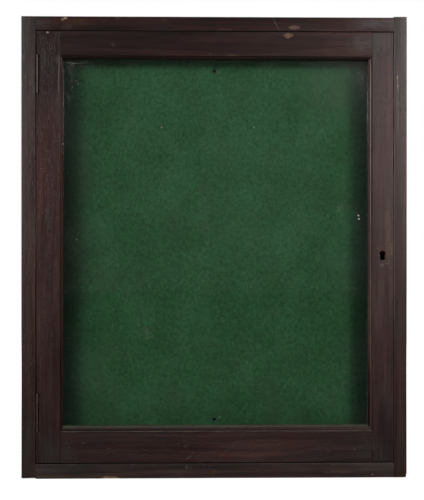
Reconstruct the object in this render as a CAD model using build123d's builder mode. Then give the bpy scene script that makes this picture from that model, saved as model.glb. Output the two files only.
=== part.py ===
from build123d import *
import math
import os

# Glazed wall display case. Millimetres, +Z up, front towards -Y.
# The origin is on the wall plane, in the middle of the case's width and close to the middle of its height.

os.makedirs("parts", exist_ok=True)

# ---------------------------------------------------------------- driving dimensions
WIDTH = 508.0  # over the side boards
DEPTH = 64.0  # wall plane to the front edges
Z_TOP = 303.6  # top face of the top board
Z_BOTTOM = -304.0  # underside of the bottom board
T_LEFT, T_RIGHT, T_TOP, T_BOTTOM = 18.6, 17.0, 18.7, 19.4  # hand-planed boards differ a little
PROUD_TOP_RIGHT = 1.1  # the right side's end stands above the top board
SHORT_BOTTOM_LEFT = 1.2  # the left side's end stops above the bottom board's underside
EDGE_R = 0.8  # worn outer arrises

TAIL_SPLAY = 2.6  # how far a dovetail narrows on each side over a board's thickness
TAILS = ((-58.0, -44.7), (-40.7, -27.4), (-23.4, -10.0))  # each tail's Y range at its wide end

BACK_T = 9.0  # back boards
REBATE_W = 9.0  # the rebate that holds them
BACK_FIT = 0.4
TONGUE_L, TONGUE_T = 4.0, 3.0
BAIZE_T = 1.2

WALL_HOLE_R = 2.2  # for two number 8 wood screws
WALL_HOLE_X = 1.3
WALL_HOLE_Z = (238.0, -232.0)

DOOR_T = 19.0
GAP_HINGE, GAP_LOCK, GAP_TOP, GAP_BOTTOM = 0.9, 0.7, 0.9, 1.3
ARRIS_L, ARRIS_R, ARRIS_T, ARRIS_B = -202.7, 207.9, 251.7, -241.8  # where the flats meet the moulding
SIGHT_L, SIGHT_R, SIGHT_T, SIGHT_B = -198.75, 202.1, 246.95, -234.1  # the visible glass
MOULD_DEPTH = 9.5  # front face to the glass
QUIRK_FLOOR, QUIRK_U = 2.6, 0.28  # the groove beside the flat: depth, and width as a share of the moulding
OVOLO_TOP = 1.1  # how far the ovolo's top lies behind the flat
OVOLO_U, OVOLO_D = 0.93, 7.2  # where the ovolo ends
GLASS_REBATE = 7.0
GLASS_T, GLASS_FIT = 2.1, 0.5
TENON_L, TENON_T = 21.0, 6.4
BEAD_W, BEAD_D = 6.0, 7.0

STOP_W, STOP_D, STOP_CLEAR = 8.0, 8.0, 0.3

HINGE_L, KNUCKLE_R, LEAF_T, LEAF_W = 50.8, 2.2, 1.3, 16.0
HINGE_PIN_R, PIN_CLEAR = 1.1, 0.03
HINGE_Z = (228.1, -216.7)
AXIS_FORWARD = 0.3  # the pin's axis lies this far in front of the door's face
BARREL_SINK_W, BARREL_SINK_D = 1.8, 1.6  # the sinking in the stile beside the barrel

KEYHOLE_X, KEYHOLE_Z = 221.8, -8.4
KEYHOLE_R, KEYHOLE_SLOT, KEYHOLE_LOW = 4.1, 6.3, -16.6
LOCK_Z0, LOCK_Z1 = -33.0, 17.0
LOCK_X0 = 212.6
PLATE_T = 1.5
CAP_Z0, CAP_Z1, CAP_WALL, CAP_DEEP = -29.0, 13.0, 1.2, 9.0
BOLT_Z0, BOLT_Z1, BOLT_Y0, BOLT_Y1, BOLT_TAIL = -1.5, 8.5, -53.0, -48.0, 215.8
BOLT_THROW = 7.0
STRIKE_T = 1.2
STRIKE_CLEAR, MORTISE_CLEAR = 1.0, 1.2  # round the bolt, in the strike and in the board behind it

# ---------------------------------------------------------------- derived positions
XL, XR = -WIDTH / 2 + T_LEFT, WIDTH / 2 - T_RIGHT  # inner faces of the sides
ZT, ZB = Z_TOP - T_TOP, Z_BOTTOM + T_BOTTOM  # inner faces of the top and bottom
FRONT = -DEPTH
DOOR_L, DOOR_R = XL + GAP_HINGE, XR - GAP_LOCK
DOOR_TOP, DOOR_BOT = ZT - GAP_TOP, ZB + GAP_BOTTOM
DOOR_BACK = FRONT + DOOR_T
GLASS_Y = FRONT + MOULD_DEPTH  # front face of the glass
REB_L, REB_R = SIGHT_L - GLASS_REBATE, SIGHT_R + GLASS_REBATE
REB_T, REB_B = SIGHT_T + GLASS_REBATE, SIGHT_B - GLASS_REBATE
PIN_X, PIN_Y = XL + KNUCKLE_R, FRONT - AXIS_FORWARD


def box(x0, x1, y0, y1, z0, z1, mode=Mode.ADD):
    """A block between two corners, for use inside a part block."""
    with BuildSketch(Plane.XY.offset(z0)) as foot:
        with Locations(((x0 + x1) / 2, (y0 + y1) / 2)):
            Rectangle(x1 - x0, y1 - y0)
    extrude(foot.sketch, amount=z1 - z0, mode=mode)


def turned(points):
    """A round solid from (radius, height) points, about +Z."""
    with BuildPart() as solid:
        with BuildSketch(Plane.XZ):
            with BuildLine():
                Polyline(*points, close=True)
            make_face()
        revolve(axis=Axis.Z)
    return solid.part


def screw(head_r, shank_r, length, slot=True):
    """A slotted countersunk screw, head up at the origin."""
    cone = head_r - shank_r
    with BuildPart() as solid:
        add(turned([(0, 0), (head_r, 0), (head_r, -0.2), (shank_r, -0.2 - cone), (shank_r, 1.8 - length), (0.25, -length), (0, -length)]))
        if slot:
            with BuildSketch(Plane.XY):
                Rectangle(2 * head_r + 1, 0.26 * head_r)
            extrude(amount=-0.22 * head_r, mode=Mode.SUBTRACT)
    return solid.part


def screw_hole(head_r, shank_r, length, clear=0.03):
    """The space that such a screw fills, with a little clearance."""
    cone = head_r - shank_r
    return turned([(0, 0.5), (head_r + clear, 0.5), (head_r + clear, -0.2), (shank_r + clear, -0.2 - cone), (shank_r + clear, -length - 0.4), (0, -length - 0.4)])


def brad(r, length):
    return turned([(0, 0), (r, 0), (r, 1.2 - length), (0.15, -length), (0, -length)])


def brad_hole(r, length):
    return turned([(0, 0.4), (r + 0.02, 0.4), (r + 0.02, -length - 0.3), (0, -length - 0.3)])


def ovolo(u0, u1, place):
    """The door's stuck moulding in section: a quirk, an ovolo and a small fillet down to the glass.
    u0 is the arris and u1 the sight edge; place turns (u, depth) into sketch coordinates."""
    w = u1 - u0
    at = lambda share, depth: place(u0 + share * w, depth)
    curve = [
        at(
            QUIRK_U + (OVOLO_U - QUIRK_U) * math.sin(math.radians(a)),
            OVOLO_TOP + (OVOLO_D - OVOLO_TOP) * (1 - math.cos(math.radians(a))),
        )
        for a in (0, 15, 30, 45, 60, 75, 90)
    ]
    with BuildLine() as section:
        Polyline(curve[-1], at(1, OVOLO_D), at(1, MOULD_DEPTH), at(0, MOULD_DEPTH), at(0, QUIRK_FLOOR), at(QUIRK_U, QUIRK_FLOOR), curve[0])
        Spline(*curve)
    make_face(section.edges())


# ---------------------------------------------------------------- where the fastenings go
def facing(point, normal, spin=0.0):
    """A plane at a fastening's head, which faces along normal, with its slot turned by spin degrees."""
    c, n = math.cos(math.radians(spin)), math.sin(math.radians(spin))
    slot = {0: (0, c, n), 1: (c, 0, n), 2: (c, n, 0)}[[abs(v) for v in normal].index(1)]
    return Plane(point, x_dir=slot, z_dir=normal)


back_x = (-217.0, -108.0, -54.0, 56.0, 110.0, 219.0)
BACK_SCREW = (2.9, 1.5, 20.0)
back_spots = [(x, 0, ZT + 4.5) for x in back_x] + [(x, 0, ZB - 4.5) for x in back_x]
back_spots += [(XL - 4.5, 0, z) for z in (95.0, -98.0)] + [(XR + 4.5, 0, z) for z in (93.0, -96.0)]
back_planes = [facing(p, (0, 1, 0), 37 * i) for i, p in enumerate(back_spots)]

HINGE_SCREW = (2.7, 1.4, 13.0)
leaf_spots = [(z + dz, y) for z in HINGE_Z for dz, y in ((17.5, -54.0), (0.0, -56.5), (-17.5, -54.0))]
case_leaf_planes = [facing((XL + LEAF_T, y, z), (1, 0, 0), 53 * i) for i, (z, y) in enumerate(leaf_spots)]
door_leaf_planes = [facing((PIN_X + KNUCKLE_R - LEAF_T, y, z), (-1, 0, 0), 20 + 71 * i) for i, (z, y) in enumerate(leaf_spots)]

PIN = (0.6, 15.0)
STOP_Y = DOOR_BACK + STOP_CLEAR + STOP_D / 2
stop_top_planes = [facing((x, STOP_Y, ZT - STOP_W), (0, 0, -1)) for x in (-190, -62, 66, 194)]
stop_bottom_planes = [facing((x, STOP_Y, ZB + STOP_W), (0, 0, 1)) for x in (-186, -60, 63, 190)]
stop_right_planes = [facing((XR - STOP_W, STOP_Y, z), (-1, 0, 0)) for z in (205, 70, -75, -210)]

BEAD_PIN = (0.6, 12.0)
BEAD_Y = GLASS_Y + GLASS_T + 3.6
bead_left_planes = [facing((REB_L + BEAD_W, BEAD_Y, z), (1, 0, 0)) for z in (195, 70, -60, -185)]
bead_right_planes = [facing((REB_R - BEAD_W, BEAD_Y, z), (-1, 0, 0)) for z in (190, 82, -76, -180)]
bead_top_planes = [facing((x, BEAD_Y, REB_T - BEAD_W), (0, 0, -1)) for x in (-140, 3, 150)]
bead_bottom_planes = [facing((x, BEAD_Y, REB_B + BEAD_W), (0, 0, 1)) for x in (-146, 0, 143)]

LOCK_SCREW = (1.8, 0.9, 9.0)
lock_back_planes = [facing((217.2, DOOR_BACK, z), (0, 1, 0), a) for z, a in ((LOCK_Z1 - 2.05, 20), (LOCK_Z0 + 2.05, 75))]
lock_edge_planes = [facing((DOOR_R, -52.0, z), (1, 0, 0), a) for z, a in ((LOCK_Z1 - 2.3, 10), (LOCK_Z0 + 2.3, 60))]
strike_planes = [facing((XR, -50.5, z), (-1, 0, 0), a) for z, a in ((14.4, 30), (-7.6, 85))]


def side_board(x_out, x_in, z0, z1, sign):
    """A side board's blank, with the rebate for the back and the sockets for the tails. sign points outwards."""
    box(min(x_out, x_in), max(x_out, x_in), FRONT, 0, z0, z1)
    outer = part_edges(x_out)
    fillet(outer, radius=EDGE_R)
    box(min(x_in, x_in + sign * REBATE_W), max(x_in, x_in + sign * REBATE_W), -BACK_T, 1, ZB - REBATE_W, ZT + REBATE_W, mode=Mode.SUBTRACT)
    for base, height in ((ZT, T_TOP + 5), (Z_BOTTOM - 5, T_BOTTOM + 5)):
        with BuildSketch(Plane.XY.offset(base)) as sockets:
            for y0, y1 in TAILS:
                with BuildLine():
                    Polyline((x_out + sign, y0 - socket_step(sign)), (x_in, y0 + TAIL_SPLAY), (x_in, y1 - TAIL_SPLAY), (x_out + sign, y1 + socket_step(sign)), close=True)
                make_face()
        extrude(sockets.sketch, amount=height, mode=Mode.SUBTRACT)


def socket_step(sign):
    """How much wider a socket's cut is 1 mm outside the board's face."""
    return TAIL_SPLAY / (T_LEFT if sign < 0 else T_RIGHT)


def part_edges(x_out):
    """The two long upright arrises on a side board's outer face."""
    return BuildPart._get_context().edges().filter_by(Axis.Z).filter_by(lambda e: abs(e.center().X - x_out) < 0.01)


# ================================================================ the case
with BuildPart() as case_side_left:
    side_board(-WIDTH / 2, XL, Z_BOTTOM + SHORT_BOTTOM_LEFT, Z_TOP, -1)
    for z in HINGE_Z:  # relief beside the hinge's barrel
        box(XL - 0.4, XL + 1, FRONT - 1, PIN_Y + KNUCKLE_R + 0.3, z - HINGE_L / 2 - 0.4, z + HINGE_L / 2 + 0.4, mode=Mode.SUBTRACT)
    with Locations(*case_leaf_planes):
        add(screw_hole(*HINGE_SCREW), mode=Mode.SUBTRACT)
    with Locations(*back_planes[12:14]):
        add(screw_hole(*BACK_SCREW), mode=Mode.SUBTRACT)
case_side_left.part.label = "case_side_left"
export_step(case_side_left.part, "parts/case_side_left.step")

with BuildPart() as case_side_right:
    side_board(WIDTH / 2, XR, Z_BOTTOM, Z_TOP + PROUD_TOP_RIGHT, 1)
    # a knock at the bottom corner
    with BuildSketch(Plane.XZ.offset(DEPTH - 5.5)):
        with BuildLine():
            Polyline((WIDTH / 2 - 2.6, Z_BOTTOM - 1), (WIDTH / 2 - 1.7, Z_BOTTOM + 2.2), (WIDTH / 2 + 0.5, Z_BOTTOM + 6.5), (WIDTH / 2 + 2, Z_BOTTOM - 1), close=True)
        make_face()
    extrude(amount=7, mode=Mode.SUBTRACT)
    # strike plate's recess, and the mortise for the bolt behind it
    box(XR - 1, XR + STRIKE_T, -56.5, -44.5, -11.5, 18.5, mode=Mode.SUBTRACT)
    box(XR, XR + 9.5, BOLT_Y0 - MORTISE_CLEAR, BOLT_Y1 + MORTISE_CLEAR, BOLT_Z0 - MORTISE_CLEAR, BOLT_Z1 + MORTISE_CLEAR, mode=Mode.SUBTRACT)
    with Locations(*strike_planes):
        add(screw_hole(*LOCK_SCREW), mode=Mode.SUBTRACT)
    with Locations(*stop_right_planes):
        add(brad_hole(*PIN), mode=Mode.SUBTRACT)
    with Locations(*back_planes[14:16]):
        add(screw_hole(*BACK_SCREW), mode=Mode.SUBTRACT)
case_side_right.part.label = "case_side_right"
export_step(case_side_right.part, "parts/case_side_right.step")


def tail_board(z0, z1, outer_z):
    """A top or bottom board: the plain length between the sides, and three tails on each end."""
    with BuildSketch(Plane.XY.offset(z0)) as plan:
        with Locations(((XL + XR) / 2, FRONT / 2)):
            Rectangle(XR - XL, DEPTH)
        for x_in, x_out in ((XL, -WIDTH / 2), (XR, WIDTH / 2)):
            for y0, y1 in TAILS:
                with BuildLine():
                    Polyline((x_in, y0 + TAIL_SPLAY), (x_out, y0), (x_out, y1), (x_in, y1 - TAIL_SPLAY), close=True)
                make_face()
    extrude(plan.sketch, amount=z1 - z0)
    front = (
        BuildPart._get_context()
        .edges()
        .filter_by(Axis.X)
        .filter_by(lambda e: abs(e.center().Z - outer_z) < 0.01 and e.length > 300)
    )
    fillet(front, radius=EDGE_R)


with BuildPart() as case_top:
    tail_board(ZT, Z_TOP, Z_TOP)
    box(XL - 1, XR + 1, -BACK_T, 1, ZT - 1, ZT + REBATE_W, mode=Mode.SUBTRACT)
    # a small chip in the front arris
    with BuildSketch(Plane.YZ.offset(-200.2)):
        with BuildLine():
            Polyline((FRONT - 1, Z_TOP + 1), (FRONT + 2.4, Z_TOP + 1), (FRONT - 1, Z_TOP - 2.0), close=True)
        make_face()
    extrude(amount=4.2, mode=Mode.SUBTRACT)
    with Locations(*stop_top_planes):
        add(brad_hole(*PIN), mode=Mode.SUBTRACT)
    with Locations(*back_planes[0:6]):
        add(screw_hole(*BACK_SCREW), mode=Mode.SUBTRACT)
case_top.part.label = "case_top"
export_step(case_top.part, "parts/case_top.step")

with BuildPart() as case_bottom:
    tail_board(Z_BOTTOM, ZB, Z_BOTTOM)
    box(XL - 1, XR + 1, -BACK_T, 1, ZB - REBATE_W, ZB + 1, mode=Mode.SUBTRACT)
    # a long shallow chip out of the lower arris
    with BuildSketch(Plane.YZ.offset(-143.4)):
        with BuildLine():
            Polyline((FRONT - 1, Z_BOTTOM - 1), (FRONT + 1.9, Z_BOTTOM - 1), (FRONT - 0.01, Z_BOTTOM + 3.4), (FRONT - 1, Z_BOTTOM + 3.4), close=True)
        make_face()
    extrude(amount=18.5, mode=Mode.SUBTRACT)
    with Locations(*stop_bottom_planes):
        add(brad_hole(*PIN), mode=Mode.SUBTRACT)
    with Locations(*back_planes[6:12]):
        add(screw_hole(*BACK_SCREW), mode=Mode.SUBTRACT)
case_bottom.part.label = "case_bottom"
export_step(case_bottom.part, "parts/case_bottom.step")

# ---------------------------------------------------------------- tongued and grooved back
BACK_X0, BACK_X3 = XL - REBATE_W + BACK_FIT, XR + REBATE_W - BACK_FIT
BACK_Z0, BACK_Z1 = ZB - REBATE_W + BACK_FIT, ZT + REBATE_W - BACK_FIT
JOINT_1, JOINT_2, JOINT_GAP = -81.0, 82.6, 0.5


def back_board(x0, x1, tongue, groove):
    """One upright board. Its rear arrises are eased where it meets the next."""
    box(x0, x1, -BACK_T, 0, BACK_Z0, BACK_Z1)
    eased = [x for x, used in ((x0, groove), (x1, tongue)) if used]
    rear = (
        BuildPart._get_context()
        .edges()
        .filter_by(Axis.Z)
        .filter_by(lambda e: abs(e.center().Y) < 0.01 and any(abs(e.center().X - x) < 0.01 for x in eased))
    )
    chamfer(rear, length=1.0)
    if tongue:
        box(x1 - 0.5, x1 + TONGUE_L, -6.0, -6.0 + TONGUE_T, BACK_Z0, BACK_Z1)
    if groove:
        box(x0 - 1, x0 + TONGUE_L + 0.3, -6.1, -5.9 + TONGUE_T, BACK_Z0 - 1, BACK_Z1 + 1, mode=Mode.SUBTRACT)


with BuildPart() as back_board_left:
    back_board(BACK_X0, JOINT_1, True, False)
    with Locations(*[back_planes[i] for i in (0, 1, 6, 7, 12, 13)]):
        add(screw_hole(*BACK_SCREW), mode=Mode.SUBTRACT)
back_board_left.part.label = "back_board_left"
export_step(back_board_left.part, "parts/back_board_left.step")

with BuildPart() as back_board_centre:
    back_board(JOINT_1 + JOINT_GAP, JOINT_2, True, True)
    with Locations(*[back_planes[i] for i in (2, 3, 8, 9)]):
        add(screw_hole(*BACK_SCREW), mode=Mode.SUBTRACT)
    # clearance holes for the two wall screws
    with BuildSketch(Plane.XZ.offset(-1)):
        with Locations(*[(WALL_HOLE_X, z) for z in WALL_HOLE_Z]):
            Circle(WALL_HOLE_R)
    extrude(amount=BACK_T + 2, mode=Mode.SUBTRACT)
back_board_centre.part.label = "back_board_centre"
export_step(back_board_centre.part, "parts/back_board_centre.step")

with BuildPart() as back_board_right:
    back_board(JOINT_2 + JOINT_GAP, BACK_X3, False, True)
    with Locations(*[back_planes[i] for i in (4, 5, 10, 11, 14, 15)]):
        add(screw_hole(*BACK_SCREW), mode=Mode.SUBTRACT)
back_board_right.part.label = "back_board_right"
export_step(back_board_right.part, "parts/back_board_right.step")

with BuildPart() as back_screws:
    with Locations(*back_planes):
        add(screw(*BACK_SCREW))
back_screws.part.label = "back_screws"
export_step(back_screws.part, "parts/back_screws.step")

# ---------------------------------------------------------------- cloth lining, glued to the back boards
with BuildPart() as baize_lining:
    box(XL + 0.2, XR - 0.2, -BACK_T - BAIZE_T, -BACK_T, ZB + 0.2, ZT - 0.2)
    with BuildSketch(Plane.XZ.offset(BACK_T - 1)):
        with Locations(*[(WALL_HOLE_X, z) for z in WALL_HOLE_Z]):
            Circle(WALL_HOLE_R)
        with Locations((WALL_HOLE_X + 0.1, WALL_HOLE_Z[0] + 6.4)):  # a short cut above the top hole
            Rectangle(0.7, 9.0)
    extrude(amount=BAIZE_T + 2, mode=Mode.SUBTRACT)
baize_lining.part.label = "baize_lining"
export_step(baize_lining.part, "parts/baize_lining.step")

# ---------------------------------------------------------------- strips that the door shuts against
STOP_Y0, STOP_Y1 = DOOR_BACK + STOP_CLEAR, DOOR_BACK + STOP_CLEAR + STOP_D
with BuildPart() as door_stop_top:
    box(XL, XR, STOP_Y0, STOP_Y1, ZT - STOP_W, ZT)
    chamfer(door_stop_top.edges().filter_by(Axis.X).sort_by(Axis.Z)[0:2].sort_by(Axis.Y)[-1], length=1.5)
    with Locations(*stop_top_planes):
        add(brad_hole(*PIN), mode=Mode.SUBTRACT)
door_stop_top.part.label = "door_stop_top"
export_step(door_stop_top.part, "parts/door_stop_top.step")

with BuildPart() as door_stop_bottom:
    box(XL, XR, STOP_Y0, STOP_Y1, ZB, ZB + STOP_W)
    chamfer(door_stop_bottom.edges().filter_by(Axis.X).sort_by(Axis.Z)[-2:].sort_by(Axis.Y)[-1], length=1.5)
    with Locations(*stop_bottom_planes):
        add(brad_hole(*PIN), mode=Mode.SUBTRACT)
door_stop_bottom.part.label = "door_stop_bottom"
export_step(door_stop_bottom.part, "parts/door_stop_bottom.step")

with BuildPart() as door_stop_right:
    box(XR - STOP_W, XR, STOP_Y0, STOP_Y1, ZB + STOP_W, ZT - STOP_W)
    chamfer(door_stop_right.edges().filter_by(Axis.Z).sort_by(Axis.X)[0:2].sort_by(Axis.Y)[-1], length=1.5)
    with Locations(*stop_right_planes):
        add(brad_hole(*PIN), mode=Mode.SUBTRACT)
door_stop_right.part.label = "door_stop_right"
export_step(door_stop_right.part, "parts/door_stop_right.step")

with BuildPart() as stop_pins:
    with Locations(*stop_top_planes, *stop_bottom_planes, *stop_right_planes):
        add(brad(*PIN))
stop_pins.part.label = "stop_pins"
export_step(stop_pins.part, "parts/stop_pins.step")

# ================================================================ the door
MORTISES = {"top": (256.5, 279.0), "bottom": (-279.0, -249.0)}
TENON_Y0 = FRONT + 6.0


def mortises(x0, x1):
    for z0, z1 in MORTISES.values():
        box(x0, x1, TENON_Y0, TENON_Y0 + TENON_T, z0, z1, mode=Mode.SUBTRACT)


with BuildPart() as door_stile_left:
    with BuildSketch(Plane.XY.offset(ARRIS_B)):
        ovolo(ARRIS_L, SIGHT_L, lambda u, d: (u, FRONT + d))
    extrude(amount=ARRIS_T - ARRIS_B)
    with BuildSketch(Plane.XZ.offset(DEPTH - 12)):  # mitres
        with BuildLine():
            Polyline((ARRIS_L, ARRIS_B), (SIGHT_L, SIGHT_B), (SIGHT_L, SIGHT_T), (ARRIS_L, ARRIS_T), close=True)
        make_face()
    extrude(amount=14, mode=Mode.INTERSECT)
    with BuildSketch(Plane.XY.offset(DOOR_BOT)):
        with BuildLine():
            Polyline((DOOR_L, FRONT), (ARRIS_L, FRONT), (ARRIS_L, GLASS_Y), (REB_L, GLASS_Y), (REB_L, DOOR_BACK), (DOOR_L, DOOR_BACK), close=True)
        make_face()
    extrude(amount=DOOR_TOP - DOOR_BOT)
    mortises(ARRIS_L - TENON_L - 0.5, ARRIS_L)
    for z in HINGE_Z:  # the whole hinge is let into the stile's edge
        low, high = z - HINGE_L / 2 - 0.4, z + HINGE_L / 2 + 0.4
        box(DOOR_L - 1, PIN_X + KNUCKLE_R, FRONT - 1, PIN_Y + LEAF_W + 0.8, low, high, mode=Mode.SUBTRACT)
        box(DOOR_L - 1, PIN_X + KNUCKLE_R + BARREL_SINK_W, FRONT - 1, FRONT + BARREL_SINK_D, low, high, mode=Mode.SUBTRACT)
    with Locations(*door_leaf_planes):
        add(screw_hole(*HINGE_SCREW), mode=Mode.SUBTRACT)
    with Locations(*bead_left_planes):
        add(brad_hole(*BEAD_PIN), mode=Mode.SUBTRACT)
door_stile_left.part.label = "door_stile_left"
export_step(door_stile_left.part, "parts/door_stile_left.step")

with BuildPart() as door_stile_right:
    with BuildSketch(Plane.XY.offset(ARRIS_B)):
        ovolo(ARRIS_R, SIGHT_R, lambda u, d: (u, FRONT + d))
    extrude(amount=ARRIS_T - ARRIS_B)
    with BuildSketch(Plane.XZ.offset(DEPTH - 12)):
        with BuildLine():
            Polyline((ARRIS_R, ARRIS_B), (SIGHT_R, SIGHT_B), (SIGHT_R, SIGHT_T), (ARRIS_R, ARRIS_T), close=True)
        make_face()
    extrude(amount=14, mode=Mode.INTERSECT)
    with BuildSketch(Plane.XY.offset(DOOR_BOT)):
        with BuildLine():
            Polyline((DOOR_R, FRONT), (ARRIS_R, FRONT), (ARRIS_R, GLASS_Y), (REB_R, GLASS_Y), (REB_R, DOOR_BACK), (DOOR_R, DOOR_BACK), close=True)
        make_face()
    extrude(amount=DOOR_TOP - DOOR_BOT)
    mortises(ARRIS_R, ARRIS_R + TENON_L + 0.5)
    # keyhole through to the lock
    with BuildSketch(Plane.XZ.offset(DEPTH - 10)):
        with Locations((KEYHOLE_X, KEYHOLE_Z)):
            Circle(KEYHOLE_R)
        with Locations((KEYHOLE_X, (KEYHOLE_Z + KEYHOLE_LOW) / 2)):
            Rectangle(KEYHOLE_SLOT, KEYHOLE_Z - KEYHOLE_LOW)
    extrude(amount=12, mode=Mode.SUBTRACT)
    # the lock is let in from behind, its plate flush with the back and the edge
    box(LOCK_X0, DOOR_R + 1, DOOR_BACK - PLATE_T, DOOR_BACK + 1, LOCK_Z0, LOCK_Z1, mode=Mode.SUBTRACT)
    box(LOCK_X0 + 0.6, DOOR_R + 1, DOOR_BACK - PLATE_T - CAP_DEEP - 0.1, DOOR_BACK, CAP_Z0 - 0.2, CAP_Z1 + 0.2, mode=Mode.SUBTRACT)
    box(DOOR_R - PLATE_T, DOOR_R + 1, -58.5, DOOR_BACK, LOCK_Z0, LOCK_Z1, mode=Mode.SUBTRACT)
    with Locations(*lock_back_planes, *lock_edge_planes):
        add(screw_hole(*LOCK_SCREW), mode=Mode.SUBTRACT)
    with Locations(*bead_right_planes):
        add(brad_hole(*BEAD_PIN), mode=Mode.SUBTRACT)
door_stile_right.part.label = "door_stile_right"
export_step(door_stile_right.part, "parts/door_stile_right.step")

with BuildPart() as door_rail_top:
    with BuildSketch(Plane.YZ.offset(ARRIS_L)):
        ovolo(ARRIS_T, SIGHT_T, lambda u, d: (FRONT + d, u))
    extrude(amount=ARRIS_R - ARRIS_L)
    with BuildSketch(Plane.XZ.offset(DEPTH - 12)):
        with BuildLine():
            Polyline((ARRIS_L, ARRIS_T), (ARRIS_R, ARRIS_T), (SIGHT_R, SIGHT_T), (SIGHT_L, SIGHT_T), close=True)
        make_face()
    extrude(amount=14, mode=Mode.INTERSECT)
    box(ARRIS_L, ARRIS_R, FRONT, GLASS_Y, ARRIS_T, DOOR_TOP)
    box(REB_L, REB_R, GLASS_Y, DOOR_BACK, REB_T, DOOR_TOP)
    box(ARRIS_L - TENON_L, ARRIS_R + TENON_L, TENON_Y0, TENON_Y0 + TENON_T, *MORTISES["top"])
    with Locations(*bead_top_planes):
        add(brad_hole(*BEAD_PIN), mode=Mode.SUBTRACT)
door_rail_top.part.label = "door_rail_top"
export_step(door_rail_top.part, "parts/door_rail_top.step")

with BuildPart() as door_rail_bottom:
    with BuildSketch(Plane.YZ.offset(ARRIS_L)):
        ovolo(ARRIS_B, SIGHT_B, lambda u, d: (FRONT + d, u))
    extrude(amount=ARRIS_R - ARRIS_L)
    with BuildSketch(Plane.XZ.offset(DEPTH - 12)):
        with BuildLine():
            Polyline((ARRIS_L, ARRIS_B), (ARRIS_R, ARRIS_B), (SIGHT_R, SIGHT_B), (SIGHT_L, SIGHT_B), close=True)
        make_face()
    extrude(amount=14, mode=Mode.INTERSECT)
    box(ARRIS_L, ARRIS_R, FRONT, GLASS_Y, DOOR_BOT, ARRIS_B)
    box(REB_L, REB_R, GLASS_Y, DOOR_BACK, DOOR_BOT, REB_B)
    box(ARRIS_L - TENON_L, ARRIS_R + TENON_L, TENON_Y0, TENON_Y0 + TENON_T, *MORTISES["bottom"])
    with Locations(*bead_bottom_planes):
        add(brad_hole(*BEAD_PIN), mode=Mode.SUBTRACT)
door_rail_bottom.part.label = "door_rail_bottom"
export_step(door_rail_bottom.part, "parts/door_rail_bottom.step")

# ---------------------------------------------------------------- glass and the beads behind it
with BuildPart() as glass_pane:
    box(REB_L + GLASS_FIT, REB_R - GLASS_FIT, GLASS_Y, GLASS_Y + GLASS_T, REB_B + GLASS_FIT, REB_T - GLASS_FIT)
    chamfer(glass_pane.edges().filter_by(Axis.Y), length=1.0)
glass_pane.part.label = "glass_pane"
export_step(glass_pane.part, "parts/glass_pane.step")

BEAD_Y0 = GLASS_Y + GLASS_T


def bead_section(u0, u1, place):
    """A small bead in section: square behind the glass, rounded on its inner rear arris."""
    step = 1 if u1 > u0 else -1
    with BuildLine() as section:
        Polyline(place(u1 - step * 3.2, BEAD_D), place(u0, BEAD_D), place(u0, 0), place(u1, 0), place(u1, BEAD_D - 3.2))
        ThreePointArc(place(u1, BEAD_D - 3.2), place(u1 - step * 0.94, BEAD_D - 0.94), place(u1 - step * 3.2, BEAD_D))
    make_face(section.edges())


def bead_mitre(points):
    with BuildSketch(Plane.XZ.offset(-BEAD_Y0 - BEAD_D - 2)) as outline:
        with BuildLine():
            Polyline(*points, close=True)
        make_face()
    extrude(outline.sketch, amount=BEAD_D + 4, mode=Mode.INTERSECT)


IN_L, IN_R, IN_T, IN_B = REB_L + BEAD_W, REB_R - BEAD_W, REB_T - BEAD_W, REB_B + BEAD_W
with BuildPart() as glazing_bead_left:
    with BuildSketch(Plane.XY.offset(REB_B)):
        bead_section(REB_L, IN_L, lambda u, d: (u, BEAD_Y0 + d))
    extrude(amount=REB_T - REB_B)
    bead_mitre([(REB_L, REB_B), (IN_L, IN_B), (IN_L, IN_T), (REB_L, REB_T)])
    with Locations(*bead_left_planes):
        add(brad_hole(*BEAD_PIN), mode=Mode.SUBTRACT)
glazing_bead_left.part.label = "glazing_bead_left"
export_step(glazing_bead_left.part, "parts/glazing_bead_left.step")

with BuildPart() as glazing_bead_right:
    with BuildSketch(Plane.XY.offset(REB_B)):
        bead_section(REB_R, IN_R, lambda u, d: (u, BEAD_Y0 + d))
    extrude(amount=REB_T - REB_B)
    bead_mitre([(REB_R, REB_B), (IN_R, IN_B), (IN_R, IN_T), (REB_R, REB_T)])
    with Locations(*bead_right_planes):
        add(brad_hole(*BEAD_PIN), mode=Mode.SUBTRACT)
glazing_bead_right.part.label = "glazing_bead_right"
export_step(glazing_bead_right.part, "parts/glazing_bead_right.step")

with BuildPart() as glazing_bead_top:
    with BuildSketch(Plane.YZ.offset(REB_L)):
        bead_section(REB_T, IN_T, lambda u, d: (BEAD_Y0 + d, u))
    extrude(amount=REB_R - REB_L)
    bead_mitre([(REB_L, REB_T), (REB_R, REB_T), (IN_R, IN_T), (IN_L, IN_T)])
    with Locations(*bead_top_planes):
        add(brad_hole(*BEAD_PIN), mode=Mode.SUBTRACT)
glazing_bead_top.part.label = "glazing_bead_top"
export_step(glazing_bead_top.part, "parts/glazing_bead_top.step")

with BuildPart() as glazing_bead_bottom:
    with BuildSketch(Plane.YZ.offset(REB_L)):
        bead_section(REB_B, IN_B, lambda u, d: (BEAD_Y0 + d, u))
    extrude(amount=REB_R - REB_L)
    bead_mitre([(REB_L, REB_B), (REB_R, REB_B), (IN_R, IN_B), (IN_L, IN_B)])
    with Locations(*bead_bottom_planes):
        add(brad_hole(*BEAD_PIN), mode=Mode.SUBTRACT)
glazing_bead_bottom.part.label = "glazing_bead_bottom"
export_step(glazing_bead_bottom.part, "parts/glazing_bead_bottom.step")

with BuildPart() as bead_pins:
    with Locations(*bead_left_planes, *bead_right_planes, *bead_top_planes, *bead_bottom_planes):
        add(brad(*BEAD_PIN))
bead_pins.part.label = "bead_pins"
export_step(bead_pins.part, "parts/bead_pins.step")

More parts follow.
